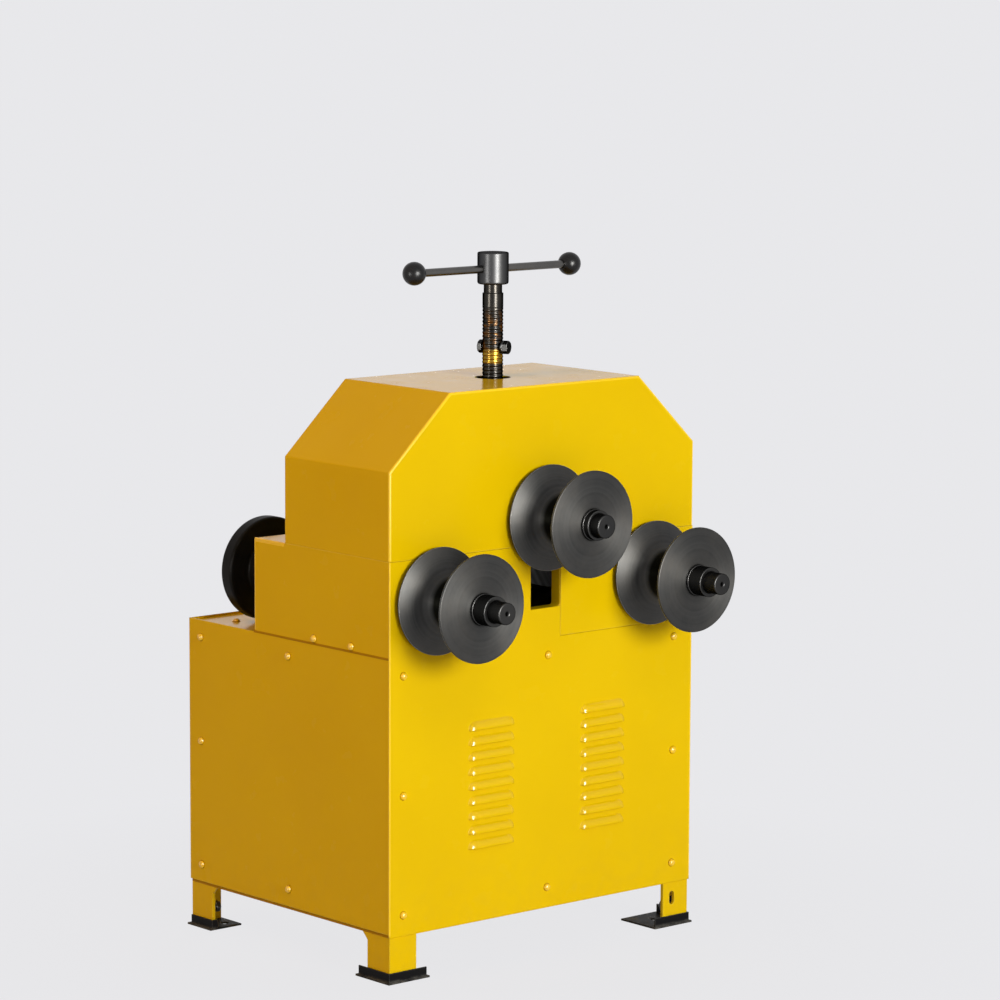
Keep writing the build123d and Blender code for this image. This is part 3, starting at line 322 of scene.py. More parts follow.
# Painted shade: dark brown for the joint and rail strips and the rings round the panel screws
shadePaint = dict(cabinetPaint, colour=(0.50, 0.26, 0.002, 1), shine=0.02, edgeAmount=0.0, coat=0.0)
footPaint = dict(
    cabinetPaint, colour=(0.006, 0.006, 0.007, 1), drift=0.3, gloss=0.45, coat=0.05, peelBump=0.15, edgeAmount=0.4,
    edgeColour=grey(0.16), dustReach=0.007, dustAmount=0.8, dustColour=(0.22, 0.21, 0.19, 1))
motorPaint = dict(
    cabinetPaint, colour=(0.10, 0.14, 0.18, 1), gloss=0.42, shine=0.4, coat=0.1, peelBump=0.2,
    edgeColour=(0.35, 0.38, 0.4, 1))
ironCasting = dict(
    footPaint, colour=(0.09, 0.12, 0.15, 1), gloss=0.5, peel=260.0, peelBump=0.5, dustReach=0.3, dustAmount=0.2)
blackPlastic = dict(
    footPaint, colour=(0.018, 0.018, 0.019, 1), gloss=0.40, shine=0.3, peel=1500.0, peelBump=0.2, edgeAmount=0.3,
    edgeColour=grey(0.07), dustAmount=0.0)
knobPlastic = dict(blackPlastic, colour=(0.008, 0.008, 0.009, 1), gloss=0.30, shine=0.22, coat=0.0, peelBump=0.03)
pointerPaint = dict(blackPlastic, colour=(0.74, 0.74, 0.72, 1), edgeAmount=0.0, peelBump=0.05)

rollerSteel = {
    "colour": (0.042, 0.042, 0.041, 1), "patch": (0.080, 0.074, 0.066, 1), "patchScale": 18.0, "patchAmount": 0.5,
    "metal": 1.0, "shine": 0.5, "rimTint": grey(1.0), "gloss": 0.50, "grain": 0.55, "axis": "Y",
    "rings": 160.0, "ringBump": 0.10, "bandColour": (0.062, 0.061, 0.059, 1), "bandAmount": 0.5,
    "edgeRadius": 0.0014, "edgeAmount": 0.9, "edgeBreakupShare": 0.5, "edgeColour": (0.60, 0.58, 0.54, 1),
    "grooveShade": 0.0, "grooveShadeColour": (0.004, 0.004, 0.003, 1), "heightTints": []}
# Front rollers: painted shadow in the groove
grooveShadedRoller = dict(rollerSteel, grooveShade=1.0)
wheelBlack = dict(
    rollerSteel, colour=grey(0.010), patch=(0.020, 0.019, 0.018, 1), bandColour=grey(0.014), gloss=0.36, metal=0.3,
    edgeColour=grey(0.02), rimTint=grey(0.1), shine=0.14)
nutSteel = dict(
    rollerSteel, colour=grey(0.036), patch=(0.055, 0.052, 0.047, 1), bandColour=grey(0.04), gloss=0.34, grain=0.0,
    ringBump=0.08, edgeColour=(0.30, 0.29, 0.28, 1), edgeAmount=0.45, rimTint=grey(0.05))
shaftSteel = dict(nutSteel, colour=grey(0.032), edgeAmount=0.3)
# A brown tint on the thread between two heights
brownBand = {
    "levels": (0.966, 0.985, 1.020, 1.046), "scale": 70.0, "breakup": (0.46, 0.62), "least": 0.0, "amount": 0.7,
    "colour": (0.17, 0.075, 0.016, 1)}
# Painted reflection: the yellow hood top mirrored in the screw, as an amber band
amberHoodReflection = {
    "levels": (0.954, 0.957, 0.975, 0.979), "scale": 90.0, "breakup": (0.35, 0.60), "least": 0.35, "amount": 0.9,
    "colour": (0.42, 0.25, 0.03, 1)}
handleSteel = dict(
    rollerSteel, gloss=0.24, grain=0.0, ringBump=0.0, bandAmount=0.0, edgeColour=(0.20, 0.19, 0.17, 1), edgeAmount=0.4,
    rimTint=grey(0.02))
screwSteel = dict(
    handleSteel, colour=(0.024, 0.023, 0.022, 1), patch=(0.06, 0.052, 0.040, 1), heightTints=[brownBand, amberHoodReflection])
hubSteel = dict(handleSteel, colour=(0.055, 0.055, 0.056, 1), patch=(0.070, 0.069, 0.068, 1), gloss=0.36)
barSteel = dict(
    handleSteel, colour=(0.10, 0.098, 0.094, 1), patch=(0.14, 0.13, 0.12, 1), gloss=0.26, rimTint=grey(1.0))
plateSteel = dict(rollerSteel, colour=(0.30, 0.30, 0.31, 1), patch=(0.20, 0.19, 0.18, 1), grain=0.0, gloss=0.42)
gearSteel = dict(plateSteel, colour=(0.34, 0.34, 0.35, 1), gloss=0.34)
bronzeMetal = dict(plateSteel, colour=(0.52, 0.33, 0.12, 1), patch=(0.35, 0.2, 0.07, 1), gloss=0.32)
boltSteel = dict(plateSteel, colour=grey(0.05), patch=(0.12, 0.11, 0.10, 1), gloss=0.38)

paintLooks = {
    "cabinetYellow": cabinetPaint, "louvreYellow": louvrePaint, "domeYellow": domePaint, "foldHighlightYellow": foldHighlightPaint,
    "shadeBrown": shadePaint, "footBlack": footPaint, "motorGrey": motorPaint, "reducerIron": ironCasting,
    "boxPlastic": blackPlastic, "knobBlack": knobPlastic, "markWhite": pointerPaint}
steelLooks = {
    "rollerFace": grooveShadedRoller, "wheelDark": wheelBlack, "nutBlack": nutSteel, "shaftDark": shaftSteel,
    "screwDark": screwSteel, "hubDark": hubSteel, "barGrey": barSteel, "plateMill": plateSteel,
    "gearBright": gearSteel, "nutBronze": bronzeMetal, "boltDark": boltSteel}
looks = {name: paintMaterial(name, look, paintFinish) for name, look in paintLooks.items()}
looks.update({name: steelMaterial(name, look, steelFinish) for name, look in steelLooks.items()})
nodeLooks = {
    "cabinetYellow": ("base_frame base_plate left_side_panel right_side_panel right_front_cover rear_panel "
                      "rear_deck gear_case_cover hood front_plate"),
    "louvreYellow": "front_panel",
    "domeYellow": "panel_screws",
    "footBlack": "foot_front_left foot_front_right foot_rear_left foot_rear_right reducer_stand",
    "rollerFace": "left_front_roller right_front_roller top_front_roller",
    "wheelDark": "left_rear_roller right_rear_roller top_rear_roller",
    "nutBlack": "left_nuts right_nuts top_nuts stop_bolt",
    "shaftDark": "left_shaft right_shaft top_shaft drive_shaft",
    "screwDark": "press_screw",
    "barGrey": "handle_bar",
    "hubDark": "handle_hub",
    "plateMill": "mid_plate rear_plate slide_guides crosshead carriage screw_retainer",
    "gearBright": "left_gear right_gear bull_gear left_bearings right_bearings top_bearings",
    "nutBronze": "screw_nut",
    "boltDark": "foot_bolts",
    "reducerIron": "gear_reducer",
    "motorGrey": "motor motor_fan_cowl",
    "boxPlastic": "motor_terminal_box switch_box cable_gland",
    "knobBlack": "handle_knobs switch_knob",
}
for look, members in nodeLooks.items():
    for member in members.split():
        slots = nodes[member].data.materials
        slots.clear()
        slots.append(looks[look])
print("materials placed")


# Mesh helpers: outlines with softened corners, turned pieces, and what every new piece needs
tiny = {"length": 1e-9, "radius": 1e-7, "weld": 1e-6}
straightAngle = math.radians(160)
cornerShare = 0.45
creaseAngles = {"usual": 32, "thread": 60}


def softCorners(points, radius, steps=4, closed=True):
    soft = []
    last = len(points) - 1
    for index, point in enumerate(points):
        here = Vector(point)
        before, after = Vector(points[index - 1]) - here, Vector(points[(index + 1) % len(points)]) - here
        isEnd = not closed and index in (0, last)
        if isEnd or min(before.length, after.length) < tiny["length"] or before.angle(after) > straightAngle:
            soft.append(tuple(here))
            continue
        reach = min(radius, before.length * cornerShare, after.length * cornerShare)
        start, end = here + before.normalized() * reach, here + after.normalized() * reach
        for n in range(steps + 1):
            t = n / steps
            soft.append(tuple(start * (1 - t) ** 2 + here * 2 * t * (1 - t) + end * t**2))
    return soft


def scaled(outline):
    return [(r * mm, h * mm) for r, h in outline]


def polarVert(mesh, radius, angle, height):
    return mesh.verts.new((radius * math.cos(angle), radius * math.sin(angle), height))


def bridge(mesh, first, second):
    for n in range(len(first)):
        m = (n + 1) % len(first)
        mesh.faces.new((first[n], first[m], second[m], second[n]))


def bridgeAll(mesh, rings):
    for first, second in zip(rings, rings[1:]):
        bridge(mesh, first, second)


def capEnds(mesh, rings):
    mesh.faces.new(rings[0])
    mesh.faces.new(rings[-1])


def turnMesh(mesh, outline, segments, closed=True):
    # outline holds (radius, height) points; the piece turns round Z
    rings = []
    for radius, height in outline:
        if radius < tiny["radius"]:
            rings.append([mesh.verts.new((0, 0, height))])
        else:
            rings.append([polarVert(mesh, radius, 2 * math.pi * n / segments, height) for n in range(segments)])
    for low, high in zip(rings, rings[1:] + rings[:1] if closed else rings[1:]):
        if len(low) == len(high) > 1:
            bridge(mesh, low, high)
        elif len(low) != len(high):
            for n in range(segments):
                m = (n + 1) % segments
                mesh.faces.new((low[0], high[m], high[n]) if len(low) == 1 else (low[n], low[m], high[0]))


def alongY(x, z):
    # Moves a piece that was turned round Z onto an axis along +Y
    return Matrix.Translation((x, 0, z)) @ Matrix.Rotation(math.radians(-90), 4, "X")


def finishPiece(name, mesh, look, body, replaced=(), place=Matrix.Identity(4), crease=creaseAngles["usual"]):
    bmesh.ops.recalc_face_normals(mesh, faces=mesh.faces[:])
    data = bpy.data.meshes.new(name)
    mesh.to_mesh(data)
    mesh.free()
    data.transform(place)
    data.shade_smooth()
    data.set_sharp_from_angle(angle=math.radians(crease))
    data.materials.append(looks[look])
    piece = bpy.data.objects.new(name, data)
    bpy.context.scene.collection.objects.link(piece)
    weighted = piece.modifiers.new("flatFaces", "WEIGHTED_NORMAL")
    weighted.keep_sharp = True
    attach(piece, body)
    if replaced:
        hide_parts(*replaced)


# Shafts, rollers and nuts; lengths in millimetres, along Y from the floor pattern's middle
rollSet = {
    "frontFace": -373.5, "backFace": -269.5, "rearNear": 94.5, "rearFar": 186.5, "discWidth": 26.0, "radius": 86.0,
    "bore": 25.1, "coreRadius": 48.0, "grooveRadius": 37.0, "grooveAxis": 70.0, "grooveFlare": 65.0, "grooveSteps": 36,
    "rimSoft": 1.6, "rearSoft": 5.0, "rearSteps": 6, "segments": 176, "nutCollar": 4.0, "nutGap": 0.8, "nutStep": 0.7,
    "nutSoft": 1.5, "nutSteps": 5, "nutBoreGap": 0.05, "nutSegments": 96}
lowerRoll = {"z": 0.605, "stub": 17.5, "nut": 25.0, "nutLength": 32.0, "stubLength": 27.0}
rolls = {
    "left": dict(lowerRoll, x=-0.230),
    "right": dict(lowerRoll, x=0.230),
    "top": {"x": 0.0, "z": 0.717, "stub": 19.0, "nut": 25.0, "nutLength": 15.0, "stubLength": 18.0},
}


def finishRollPiece(name, kind, mesh, look, node):
    roll = rolls[name]
    finishPiece(name + kind, mesh, look, name + "_roll", [name + node], alongY(roll["x"], roll["z"]))


def frontRoller(name, spec):
    front, back, rim, bore = spec["frontFace"], spec["backFace"], spec["radius"], spec["bore"]
    middle = (front + back) / 2
    flare = math.radians(spec["grooveFlare"])
    lowReach = spec["grooveRadius"] * math.sin(flare)
    low = spec["grooveAxis"] - spec["grooveRadius"] * math.cos(flare)
    lip = lowReach + (rim - low) / math.tan(flare)
    arc = []
    for n in range(spec["grooveSteps"] + 1):
        turn = flare * (1 - 2 * n / spec["grooveSteps"])
        arc.append((spec["grooveAxis"] - spec["grooveRadius"] * math.cos(turn),
                    middle + spec["grooveRadius"] * math.sin(turn)))
    corners = softCorners([
        (rim, middle - lip), (rim, front), (bore, front), (bore, back), (rim, back), (rim, middle + lip)],
        spec["rimSoft"], closed=False)
    mesh = bmesh.new()
    turnMesh(mesh, scaled(arc + corners), spec["segments"])
    finishRollPiece(name, "RollerFront", mesh, "rollerFace", "_front_roller")


def rearRoller(name, spec):
    near, far, core, rim, bore = (spec[k] for k in ("rearNear", "rearFar", "coreRadius", "radius", "bore"))
    discNear = far - spec["discWidth"]
    outline = softCorners([
        (bore, near), (core, near), (core, discNear), (rim, discNear), (rim, far), (bore, far)],
        spec["rearSoft"], spec["rearSteps"])
    mesh = bmesh.new()
    turnMesh(mesh, scaled(outline), spec["segments"])
    finishRollPiece(name, "RollerRear", mesh, "wheelDark", "_rear_roller")


def rollNuts(name, spec):
    roll = rolls[name]
    collarRadius, bodyRadius = roll["nut"], roll["nut"] - spec["nutStep"]
    neck, inner = bodyRadius - spec["nutGap"], roll["stub"] + spec["nutBoreGap"]
    mesh = bmesh.new()
    for seat, way in ((spec["frontFace"], -1), (spec["rearFar"], 1)):
        tip = seat + way * roll["nutLength"]
        collar, gap = seat + way * spec["nutCollar"], seat + way * (spec["nutCollar"] + spec["nutGap"])
        outline = softCorners([
            (inner, seat), (collarRadius, seat), (collarRadius, collar), (neck, collar), (neck, gap),
            (bodyRadius, gap), (bodyRadius, tip), (inner, tip)], spec["nutSoft"], spec["nutSteps"])
        turnMesh(mesh, scaled(outline), spec["nutSegments"])
    finishRollPiece(name, "RollNuts", mesh, "nutBlack", "_nuts")


for rollName in rolls:
    frontRoller(rollName, rollSet)
    rearRoller(rollName, rollSet)
    rollNuts(rollName, rollSet)
print("rollers turned")

# Shafts with a drilled centre at each end; steps are (along, radius) between the two threaded ends
lowerSteps = [
    (-372.5, 25), (-269.5, 25), (-269.5, 32), (-259.5, 32), (-259.5, 27.5), (84.5, 27.5), (84.5, 32), (94.5, 32),
    (94.5, 25), (185.5, 25)]
topSteps = [
    (-372.5, 25), (-269.5, 25), (-269.5, 29.5), (-239.5, 29.5), (-239.5, 27.5), (-74.5, 27.5), (-74.5, 25), (86.5, 25),
    (86.5, 29.5), (94.5, 29.5), (94.5, 25), (185.5, 25)]
shaftSteps = {"left": lowerSteps, "right": lowerSteps, "top": topSteps}
centreDrill = {"mouth": 3.4, "waist": 1.6, "cone": 5.0, "depth": 10.0, "edgeSoft": 2.4, "softSteps": 4, "segments": 96}


def rollShaft(name, spec, drill):
    roll, steps = rolls[name], shaftSteps[name]
    nearTip = spec["frontFace"] - roll["nutLength"] - roll["stubLength"]
    farTip = spec["rearFar"] + roll["nutLength"] + roll["stubLength"]
    hole = [(0, drill["depth"]), (drill["waist"], drill["depth"]), (drill["waist"], drill["cone"]), (drill["mouth"], 0)]
    front = [(r, nearTip + h) for r, h in hole] + [(roll["stub"], nearTip), (roll["stub"], steps[0][0])]
    rear = [(roll["stub"], steps[-1][0]), (roll["stub"], farTip)] + [(r, farTip - h) for r, h in reversed(hole)]
    outline = front + [(r, along) for along, r in steps] + rear
    mesh = bmesh.new()
    soft = softCorners(outline, drill["edgeSoft"], drill["softSteps"], False)
    turnMesh(mesh, scaled(soft), drill["segments"], False)
    finishRollPiece(name, "RollShaft", mesh, "shaftDark", "_shaft")


for rollName in rolls:
    rollShaft(rollName, rollSet, centreDrill)

# Press screw, handle and stop bolt, on the screw's axis
press = {
    "y": -0.1285, "radius": 17.0, "threadDepth": 0.75, "lead": 6.0, "ringsPerLead": 12, "flank": 2.6, "crest": 0.8,
    "segments": 56, "collarRadius": 24.5, "collarBottom": 761.3, "collarTop": 771.7, "threadLow": 8.0,
    "threadTop": 1047.0, "neckRadius": 15.0, "shoulder": 1069.0, "top": 1098.5, "soft": 0.8, "softSteps": 3}
handle = {
    "level": 1.108, "barRadius": 6.5, "barHalf": 156.5, "barSoft": 1.0, "barSteps": 3, "barSegments": 48,
    "ballRadius": 19.0, "ballReach": 165.5, "ballFlat": 8.0, "ballSteps": 40, "ballSegments": 72, "socketGap": 0.3,
    "socketDepth": 9.0, "hubRadius": 25.5, "hubBottom": 1083.0, "hubTop": 1135.0, "hubRound": 6.0, "hubSteps": 8,
    "hubTopRound": 3.0, "hubTopSteps": 6, "hubBore": 15.05, "hubBoreDepth": 15.5, "hubSegments": 96}
stopBolt = {
    "level": 0.981, "turn": -65.0, "shank": 6.0, "hex": 11.0, "washerFrom": 17.0, "headFrom": 20.0, "headTo": 29.0,
    "nutFrom": -24.0, "nutTo": -17.0, "softSteps": 3, "shankSoft": 0.8, "shankSegments": 40, "washerSoft": 0.5,
    "washerSegments": 56, "hexSegments": 72, "hexFlat": 0.97}


def pressScrew(spec):
    segments, lead = spec["segments"], spec["lead"]
    low, high = spec["collarTop"] + spec["threadLow"], spec["threadTop"]
    count = int((high - low) / lead * spec["ringsPerLead"])
    mesh = bmesh.new()
    rings = []
    for k in range(count + 1):
        height = low + (high - low) * k / count
        fade = min(1.0, (height - low) / lead, (high - height) / lead)
        ring = []
        for n in range(segments):
            phase = (height / lead - n / segments) % 1.0
            cut = min(1.0, max(0.0, spec["flank"] * (1 - abs(2 * phase - 1)) - spec["crest"]))
            radius = (spec["radius"] - spec["threadDepth"] * cut * fade) * mm
            ring.append(polarVert(mesh, radius, 2 * math.pi * n / segments, height * mm))
        rings.append(ring)
    bridgeAll(mesh, rings)
    bar, wide, slim, shoulder, top = (spec[k] for k in ("radius", "collarRadius", "neckRadius", "shoulder", "top"))
    bottom, rest = spec["collarBottom"], spec["collarTop"]
    collar = [(0, bottom), (wide, bottom), (wide, rest), (bar, rest), (bar, low)]
    neck = [(bar, high), (bar, shoulder), (slim, shoulder), (slim, top), (0, top)]
    for outline in (collar, neck):
        turnMesh(mesh, scaled(softCorners(outline, spec["soft"], spec["softSteps"], False)), segments, False)
    bmesh.ops.remove_doubles(mesh, verts=mesh.verts[:], dist=tiny["weld"])
    finishPiece("pressScrewThread", mesh, "screwDark", "press_screw", ["press_screw"],
                Matrix.Translation((0, spec["y"], 0)), creaseAngles["thread"])


def handlePieces(spec, y):
    hub = bmesh.new()
    lower, upper, radius, bore = (spec[k] for k in ("hubBottom", "hubTop", "hubRadius", "hubBore"))
    middle, floor = (lower + upper) / 2, lower + spec["hubBoreDepth"]
    wall = softCorners([(bore, lower), (radius, lower), (radius, middle)], spec["hubRound"], spec["hubSteps"], False)
    crown = softCorners(
        [(radius, middle), (radius, upper), (0, upper)], spec["hubTopRound"], spec["hubTopSteps"], False)
    turnMesh(hub, scaled([(0, floor), (bore, floor)] + wall + crown[1:]), spec["hubSegments"], False)
    finishPiece("handleHubTurned", hub, "hubDark", "press_screw", ["handle_hub"],
                Matrix.Translation((0, y, 0)))

    across = Matrix.Translation((0, y, spec["level"])) @ Matrix.Rotation(math.radians(90), 4, "Y")
    bar = bmesh.new()
    half, radius = spec["barHalf"], spec["barRadius"]
    outline = softCorners(
        [(0, -half), (radius, -half), (radius, half), (0, half)], spec["barSoft"], spec["barSteps"], False)
    turnMesh(bar, scaled(outline), spec["barSegments"], False)
    finishPiece("handleBarRound", bar, "barGrey", "press_screw", ["handle_bar"], across)

    balls = bmesh.new()
    ball, steps = spec["ballRadius"], spec["ballSteps"]
    start = math.asin(spec["ballFlat"] / ball)
    seat = radius + spec["socketGap"]
    for way in (-1, 1):
        turns = [start + (math.pi - start) * n / steps for n in range(steps + 1)]
        sphere = [(ball * math.sin(a), way * (spec["ballReach"] - ball * math.cos(a))) for a in turns]
        sphere[-1] = (0, sphere[-1][1])
        flat = sphere[0][1]
        socket = [(seat, flat + way * spec["socketDepth"]), (seat, flat)]
        turnMesh(balls, scaled(socket + sphere), spec["ballSegments"], False)
    finishPiece("handleBalls", balls, "knobBlack", "press_screw", ["handle_knobs"], across)


def hexPrism(mesh, spec, low, high, chamferLow, chamferHigh):
    sixth, segments = math.radians(60), spec["hexSegments"]
    drop = math.tan(sixth / 2)
    apothem = spec["hex"] * math.cos(sixth / 2)
    flat = apothem * spec["hexFlat"]
    lowRing, lowInner, highRing, highInner = [], [], [], []
    for level, sign, chamfer, ring, inner in (
            (low, 1, chamferLow, lowRing, lowInner), (high, -1, chamferHigh, highRing, highInner)):
        for n in range(segments):
            angle = 2 * math.pi * n / segments
            reach = apothem / math.cos((angle % sixth) - sixth / 2)
            height = level + sign * (reach - apothem) * drop * chamfer
            ring.append(polarVert(mesh, reach * mm, angle, height * mm))
            inner.append(polarVert(mesh, flat * mm, angle, level * mm))
    rings = [lowInner, lowRing, highRing, highInner]
    bridgeAll(mesh, rings)
    capEnds(mesh, rings)


def stopBoltPiece(spec, y):
    mesh = bmesh.new()
    shank, washer, tip, head = spec["shank"], spec["washerFrom"], spec["nutFrom"], spec["headFrom"]
    pin = softCorners([(0, tip), (shank, tip), (shank, head), (0, head)], spec["shankSoft"], spec["softSteps"], False)
    turnMesh(mesh, scaled(pin), spec["shankSegments"], False)
    plate = [(shank, washer), (spec["hex"], washer), (spec["hex"], head), (shank, head)]
    turnMesh(mesh, scaled(softCorners(plate, spec["washerSoft"], spec["softSteps"])), spec["washerSegments"])
    hexPrism(mesh, spec, head, spec["headTo"], 0, 1)
    hexPrism(mesh, spec, tip, spec["nutTo"], 1, 1)
    aim = Matrix.Rotation(math.radians(spec["turn"]), 4, "Z") @ Matrix.Rotation(math.radians(90), 4, "Y")
    finishPiece("stopBoltHex", mesh, "nutBlack", "press_screw", ["stop_bolt"],
                Matrix.Translation((0, y, spec["level"])) @ aim)


pressScrew(press)
handlePieces(handle, press["y"])
stopBoltPiece(stopBolt, press["y"])
print("press screw and handle made")

# Domed panel screws, each with a dark ring under it as painted shadow, one on each place that the drawing gives
domes = {
    "radius": 6.2, "height": 5.5, "rim": 0.9, "crownShare": 0.97, "steps": 10, "segments": 40, "reach": 0.02,
    "shadowRingRadius": 6.8, "shadowRingHeight": 0.5, "shadowRingSteps": 3}


def screwPlaces(spec):
    source = nodes["panel_screws"]
    clusters = []
    for vertex in source.data.vertices:
        point = source.matrix_world @ vertex.co
        for cluster in clusters:
            if (cluster[0] - point).length < spec["reach"]:
                cluster.append(point)
                break
        else:
            clusters.append([point])
    places = []
    for cluster in clusters:
        low = Vector([min(p[i] for p in cluster) for i in range(3)])
        high = Vector([max(p[i] for p in cluster) for i in range(3)])
        middle, size = (low + high) / 2, high - low
        axis = min(range(3), key=lambda i: size[i])
        outward = Vector((0, 0, 0))
        outward[axis] = 1.0 if axis == 2 or middle[axis] > 0 else -1.0
        seat = middle.copy()
        seat[axis] = (high[axis] if outward[axis] > 0 else low[axis]) - outward[axis] * spec["height"] * mm
        places.append(Matrix.Translation(seat) @ outward.to_track_quat("Z", "Y").to_matrix().to_4x4())
    return places


def copyTurned(whole, outline, segments, place):
    one = bmesh.new()
    turnMesh(one, scaled(outline), segments, False)
    bmesh.ops.transform(one, verts=one.verts[:], matrix=place)
    part = bpy.data.meshes.new("dome")
    one.to_mesh(part)
    one.free()
    whole.from_mesh(part)
    bpy.data.meshes.remove(part)


def panelScrews(spec):
    radius, rim, top = spec["radius"], spec["rim"], spec["height"]
    dome = [(0, 0), (radius, 0), (radius, rim)]
    for n in range(1, spec["steps"]):
        angle = math.radians(90) * n / spec["steps"]
        dome.append((radius * spec["crownShare"] * math.cos(angle), rim + (top - rim) * math.sin(angle)))
    dome.append((0, top))
    shadowRingRadius, shadowRingTop = spec["shadowRingRadius"], spec["shadowRingHeight"]
    ring = softCorners(
        [(0, 0), (shadowRingRadius, 0), (shadowRingRadius, shadowRingTop), (0, shadowRingTop)], shadowRingTop / 2, spec["shadowRingSteps"], False)
    heads, shadowRings = bmesh.new(), bmesh.new()
    places = screwPlaces(spec)
    for place in places:
        copyTurned(heads, dome, spec["segments"], place)
        copyTurned(shadowRings, ring, spec["segments"], place)
    finishPiece("panelScrewDomes", heads, "domeYellow", "frame", ["panel_screws"])
    finishPiece("panelScrewShadowRings", shadowRings, "shadeBrown", "frame")
    print("panel screws:", len(places))


panelScrews(domes)

# Painted shade on both sides: a dark strip in the joint of gear case on cabinet, and one on the bottom rail under the
# side panel
caseJointShade = {
    "name": "caseJointShadeStrips", "side": 325.0, "proud": 0.3, "depth": 1.2, "level": 520.5, "half": 1.9, "soft": 0.3,
    "softSteps": 3, "front": -260.5, "rear": 86.0, "stations": 24}
railShade = dict(caseJointShade, name="railShadeStrips", side=323.0, level=76.4, half=2.4, front=-259.0, rear=259.0)


# Dark strips standing in for shade in the joints
def shadeStrips(spec):
    mesh = bmesh.new()
    outer, inner, half = spec["side"] + spec["proud"], spec["side"] - spec["depth"], spec["half"]
    section = softCorners(
        [(inner, -half), (outer, -half), (outer, half), (inner, half)], spec["soft"], spec["softSteps"])
    for way in (-1, 1):
        rings = []
        for n in range(spec["stations"] + 1):
            along = spec["front"] + (spec["rear"] - spec["front"]) * n / spec["stations"]
            rings.append([mesh.verts.new((way * x * mm, along * mm, (spec["level"] + z) * mm)) for x, z in section])
        bridgeAll(mesh, rings)
        capEnds(mesh, rings)
    finishPiece(spec["name"], mesh, "shadeBrown", "frame")


shadeStrips(caseJointShade)
shadeStrips(railShade)

# Glossier, lighter paint on the rounded sheet edges: cabinet corners, front rim of the hood, and gear case; the lighter
# yellow is a painted highlight
folds = {
    "sides": 20,
    "rods": [
        {"radius": 1.75, "path": [(-323.8, -260.3, 77.0), (-323.8, -260.3, 673.5)]},
        {"radius": 3.1, "path": [(-322.0, -258.5, 675.0), (-322.0, -258.5, 813.7), (-200.3, -258.5, 928.5),
                                 (0.0, -258.5, 928.5)]},
        {"radius": 5.1, "path": [(-320.0, 81.5, 523.0), (-320.0, 81.5, 669.0), (-320.0, 6.0, 669.0)]}]}


def foldRod(mesh, path, radius, sides):
    ways = [(b - a).normalized() for a, b in zip(path, path[1:])]
    across = ways[0].orthogonal().normalized()
    rings = []
    for index, point in enumerate(path):
        before, after = ways[max(index - 1, 0)], ways[min(index, len(ways) - 1)]
        mitre = (before + after).normalized()
        ring = []
        for n in range(sides):
            spoke = Matrix.Rotation(2 * math.pi * n / sides, 3, before) @ across * radius
            ring.append(mesh.verts.new((point + spoke - before * (spoke.dot(mitre) / before.dot(mitre))) * mm))
        rings.append(ring)
        across = before.rotation_difference(after) @ across
    bridgeAll(mesh, rings)
    capEnds(mesh, rings)


def foldedEdges(spec):
    mesh = bmesh.new()
    for rod in spec["rods"]:
        for way in (1, -1):
            foldRod(mesh, [Vector((way * x, y, z)) for x, y, z in rod["path"]], rod["radius"], spec["sides"])
    finishPiece("foldedEdges", mesh, "foldHighlightYellow", "frame")


foldedEdges(folds)

# Lid joint round the switch box
lidSeam = {
    "from": 345.0, "width": 1.0, "proud": 0.25, "sunk": -0.8, "y": -150.0, "level": 420.0, "halfWide": 35.0,
    "halfHigh": 48.0, "bend": 6.0, "bendSteps": 8}


def lidBand(spec):
    mesh = bmesh.new()
    rings = []
    width, proud, sunk = spec["width"], spec["proud"], spec["sunk"]
    for along, grow in ((0.0, sunk), (0.0, proud), (width, proud), (width, sunk)):
        y, z = spec["halfWide"] + grow, spec["halfHigh"] + grow
        loop = softCorners([(-y, -z), (y, -z), (y, z), (-y, z)], spec["bend"] + grow, spec["bendSteps"])
        x = (spec["from"] + along) * mm
        rings.append([mesh.verts.new((x, (spec["y"] + a) * mm, (spec["level"] + b) * mm)) for a, b in loop])
    bridgeAll(mesh, rings + rings[:1])
    finishPiece("switchLidJoint", mesh, "footBlack", "frame")


lidBand(lidSeam)

# Switch knob with a finger grip and a plain pointer stripe; along X from the switch's face
knob = {
    "y": -0.150, "z": 0.420, "seat": 367.3, "flange": 22.0, "wall": 9.0, "soft": 2.0, "softSteps": 6, "segments": 72,
    "spindle": 4.0, "spindleEnd": 353.3, "gripTop": 392.1, "gripHalf": (18.0, 6.0), "gripSoft": 1.4, "gripSteps": 4,
    "gripSunk": 0.5, "stripeTop": 392.3, "stripeMiddle": 10.0, "stripeHalf": (6.0, 0.9), "stripeSoft": 0.1,
    "stripeSteps": 2, "stripeSunk": 0.4}
slotEnds = {"steps": 12, "turns": ((1, -90), (-1, 90))}


def slotRing(mesh, half, middle, height):
    # Round-ended slot with its long side along the piece's own X
    long, wide = half
    ring = []
    for end, start in slotEnds["turns"]:
        for n in range(slotEnds["steps"] + 1):
            turn = math.radians(start + 180 * n / slotEnds["steps"])
            x, y = middle + end * (long - wide) + wide * math.cos(turn), wide * math.sin(turn)
            ring.append(mesh.verts.new((x * mm, y * mm, height * mm)))
    return ring


def slotBlock(mesh, half, middle, bottom, top, soft, softSteps):
    rings = [slotRing(mesh, half, middle, bottom)]
    for n in range(softSteps + 1):
        turn = math.radians(90 * n / softSteps)
        inset = soft * (1 - math.cos(turn))
        rings.append(slotRing(mesh, (half[0] - inset, half[1] - inset), middle, top - soft + soft * math.sin(turn)))
    bridgeAll(mesh, rings)
    capEnds(mesh, rings)


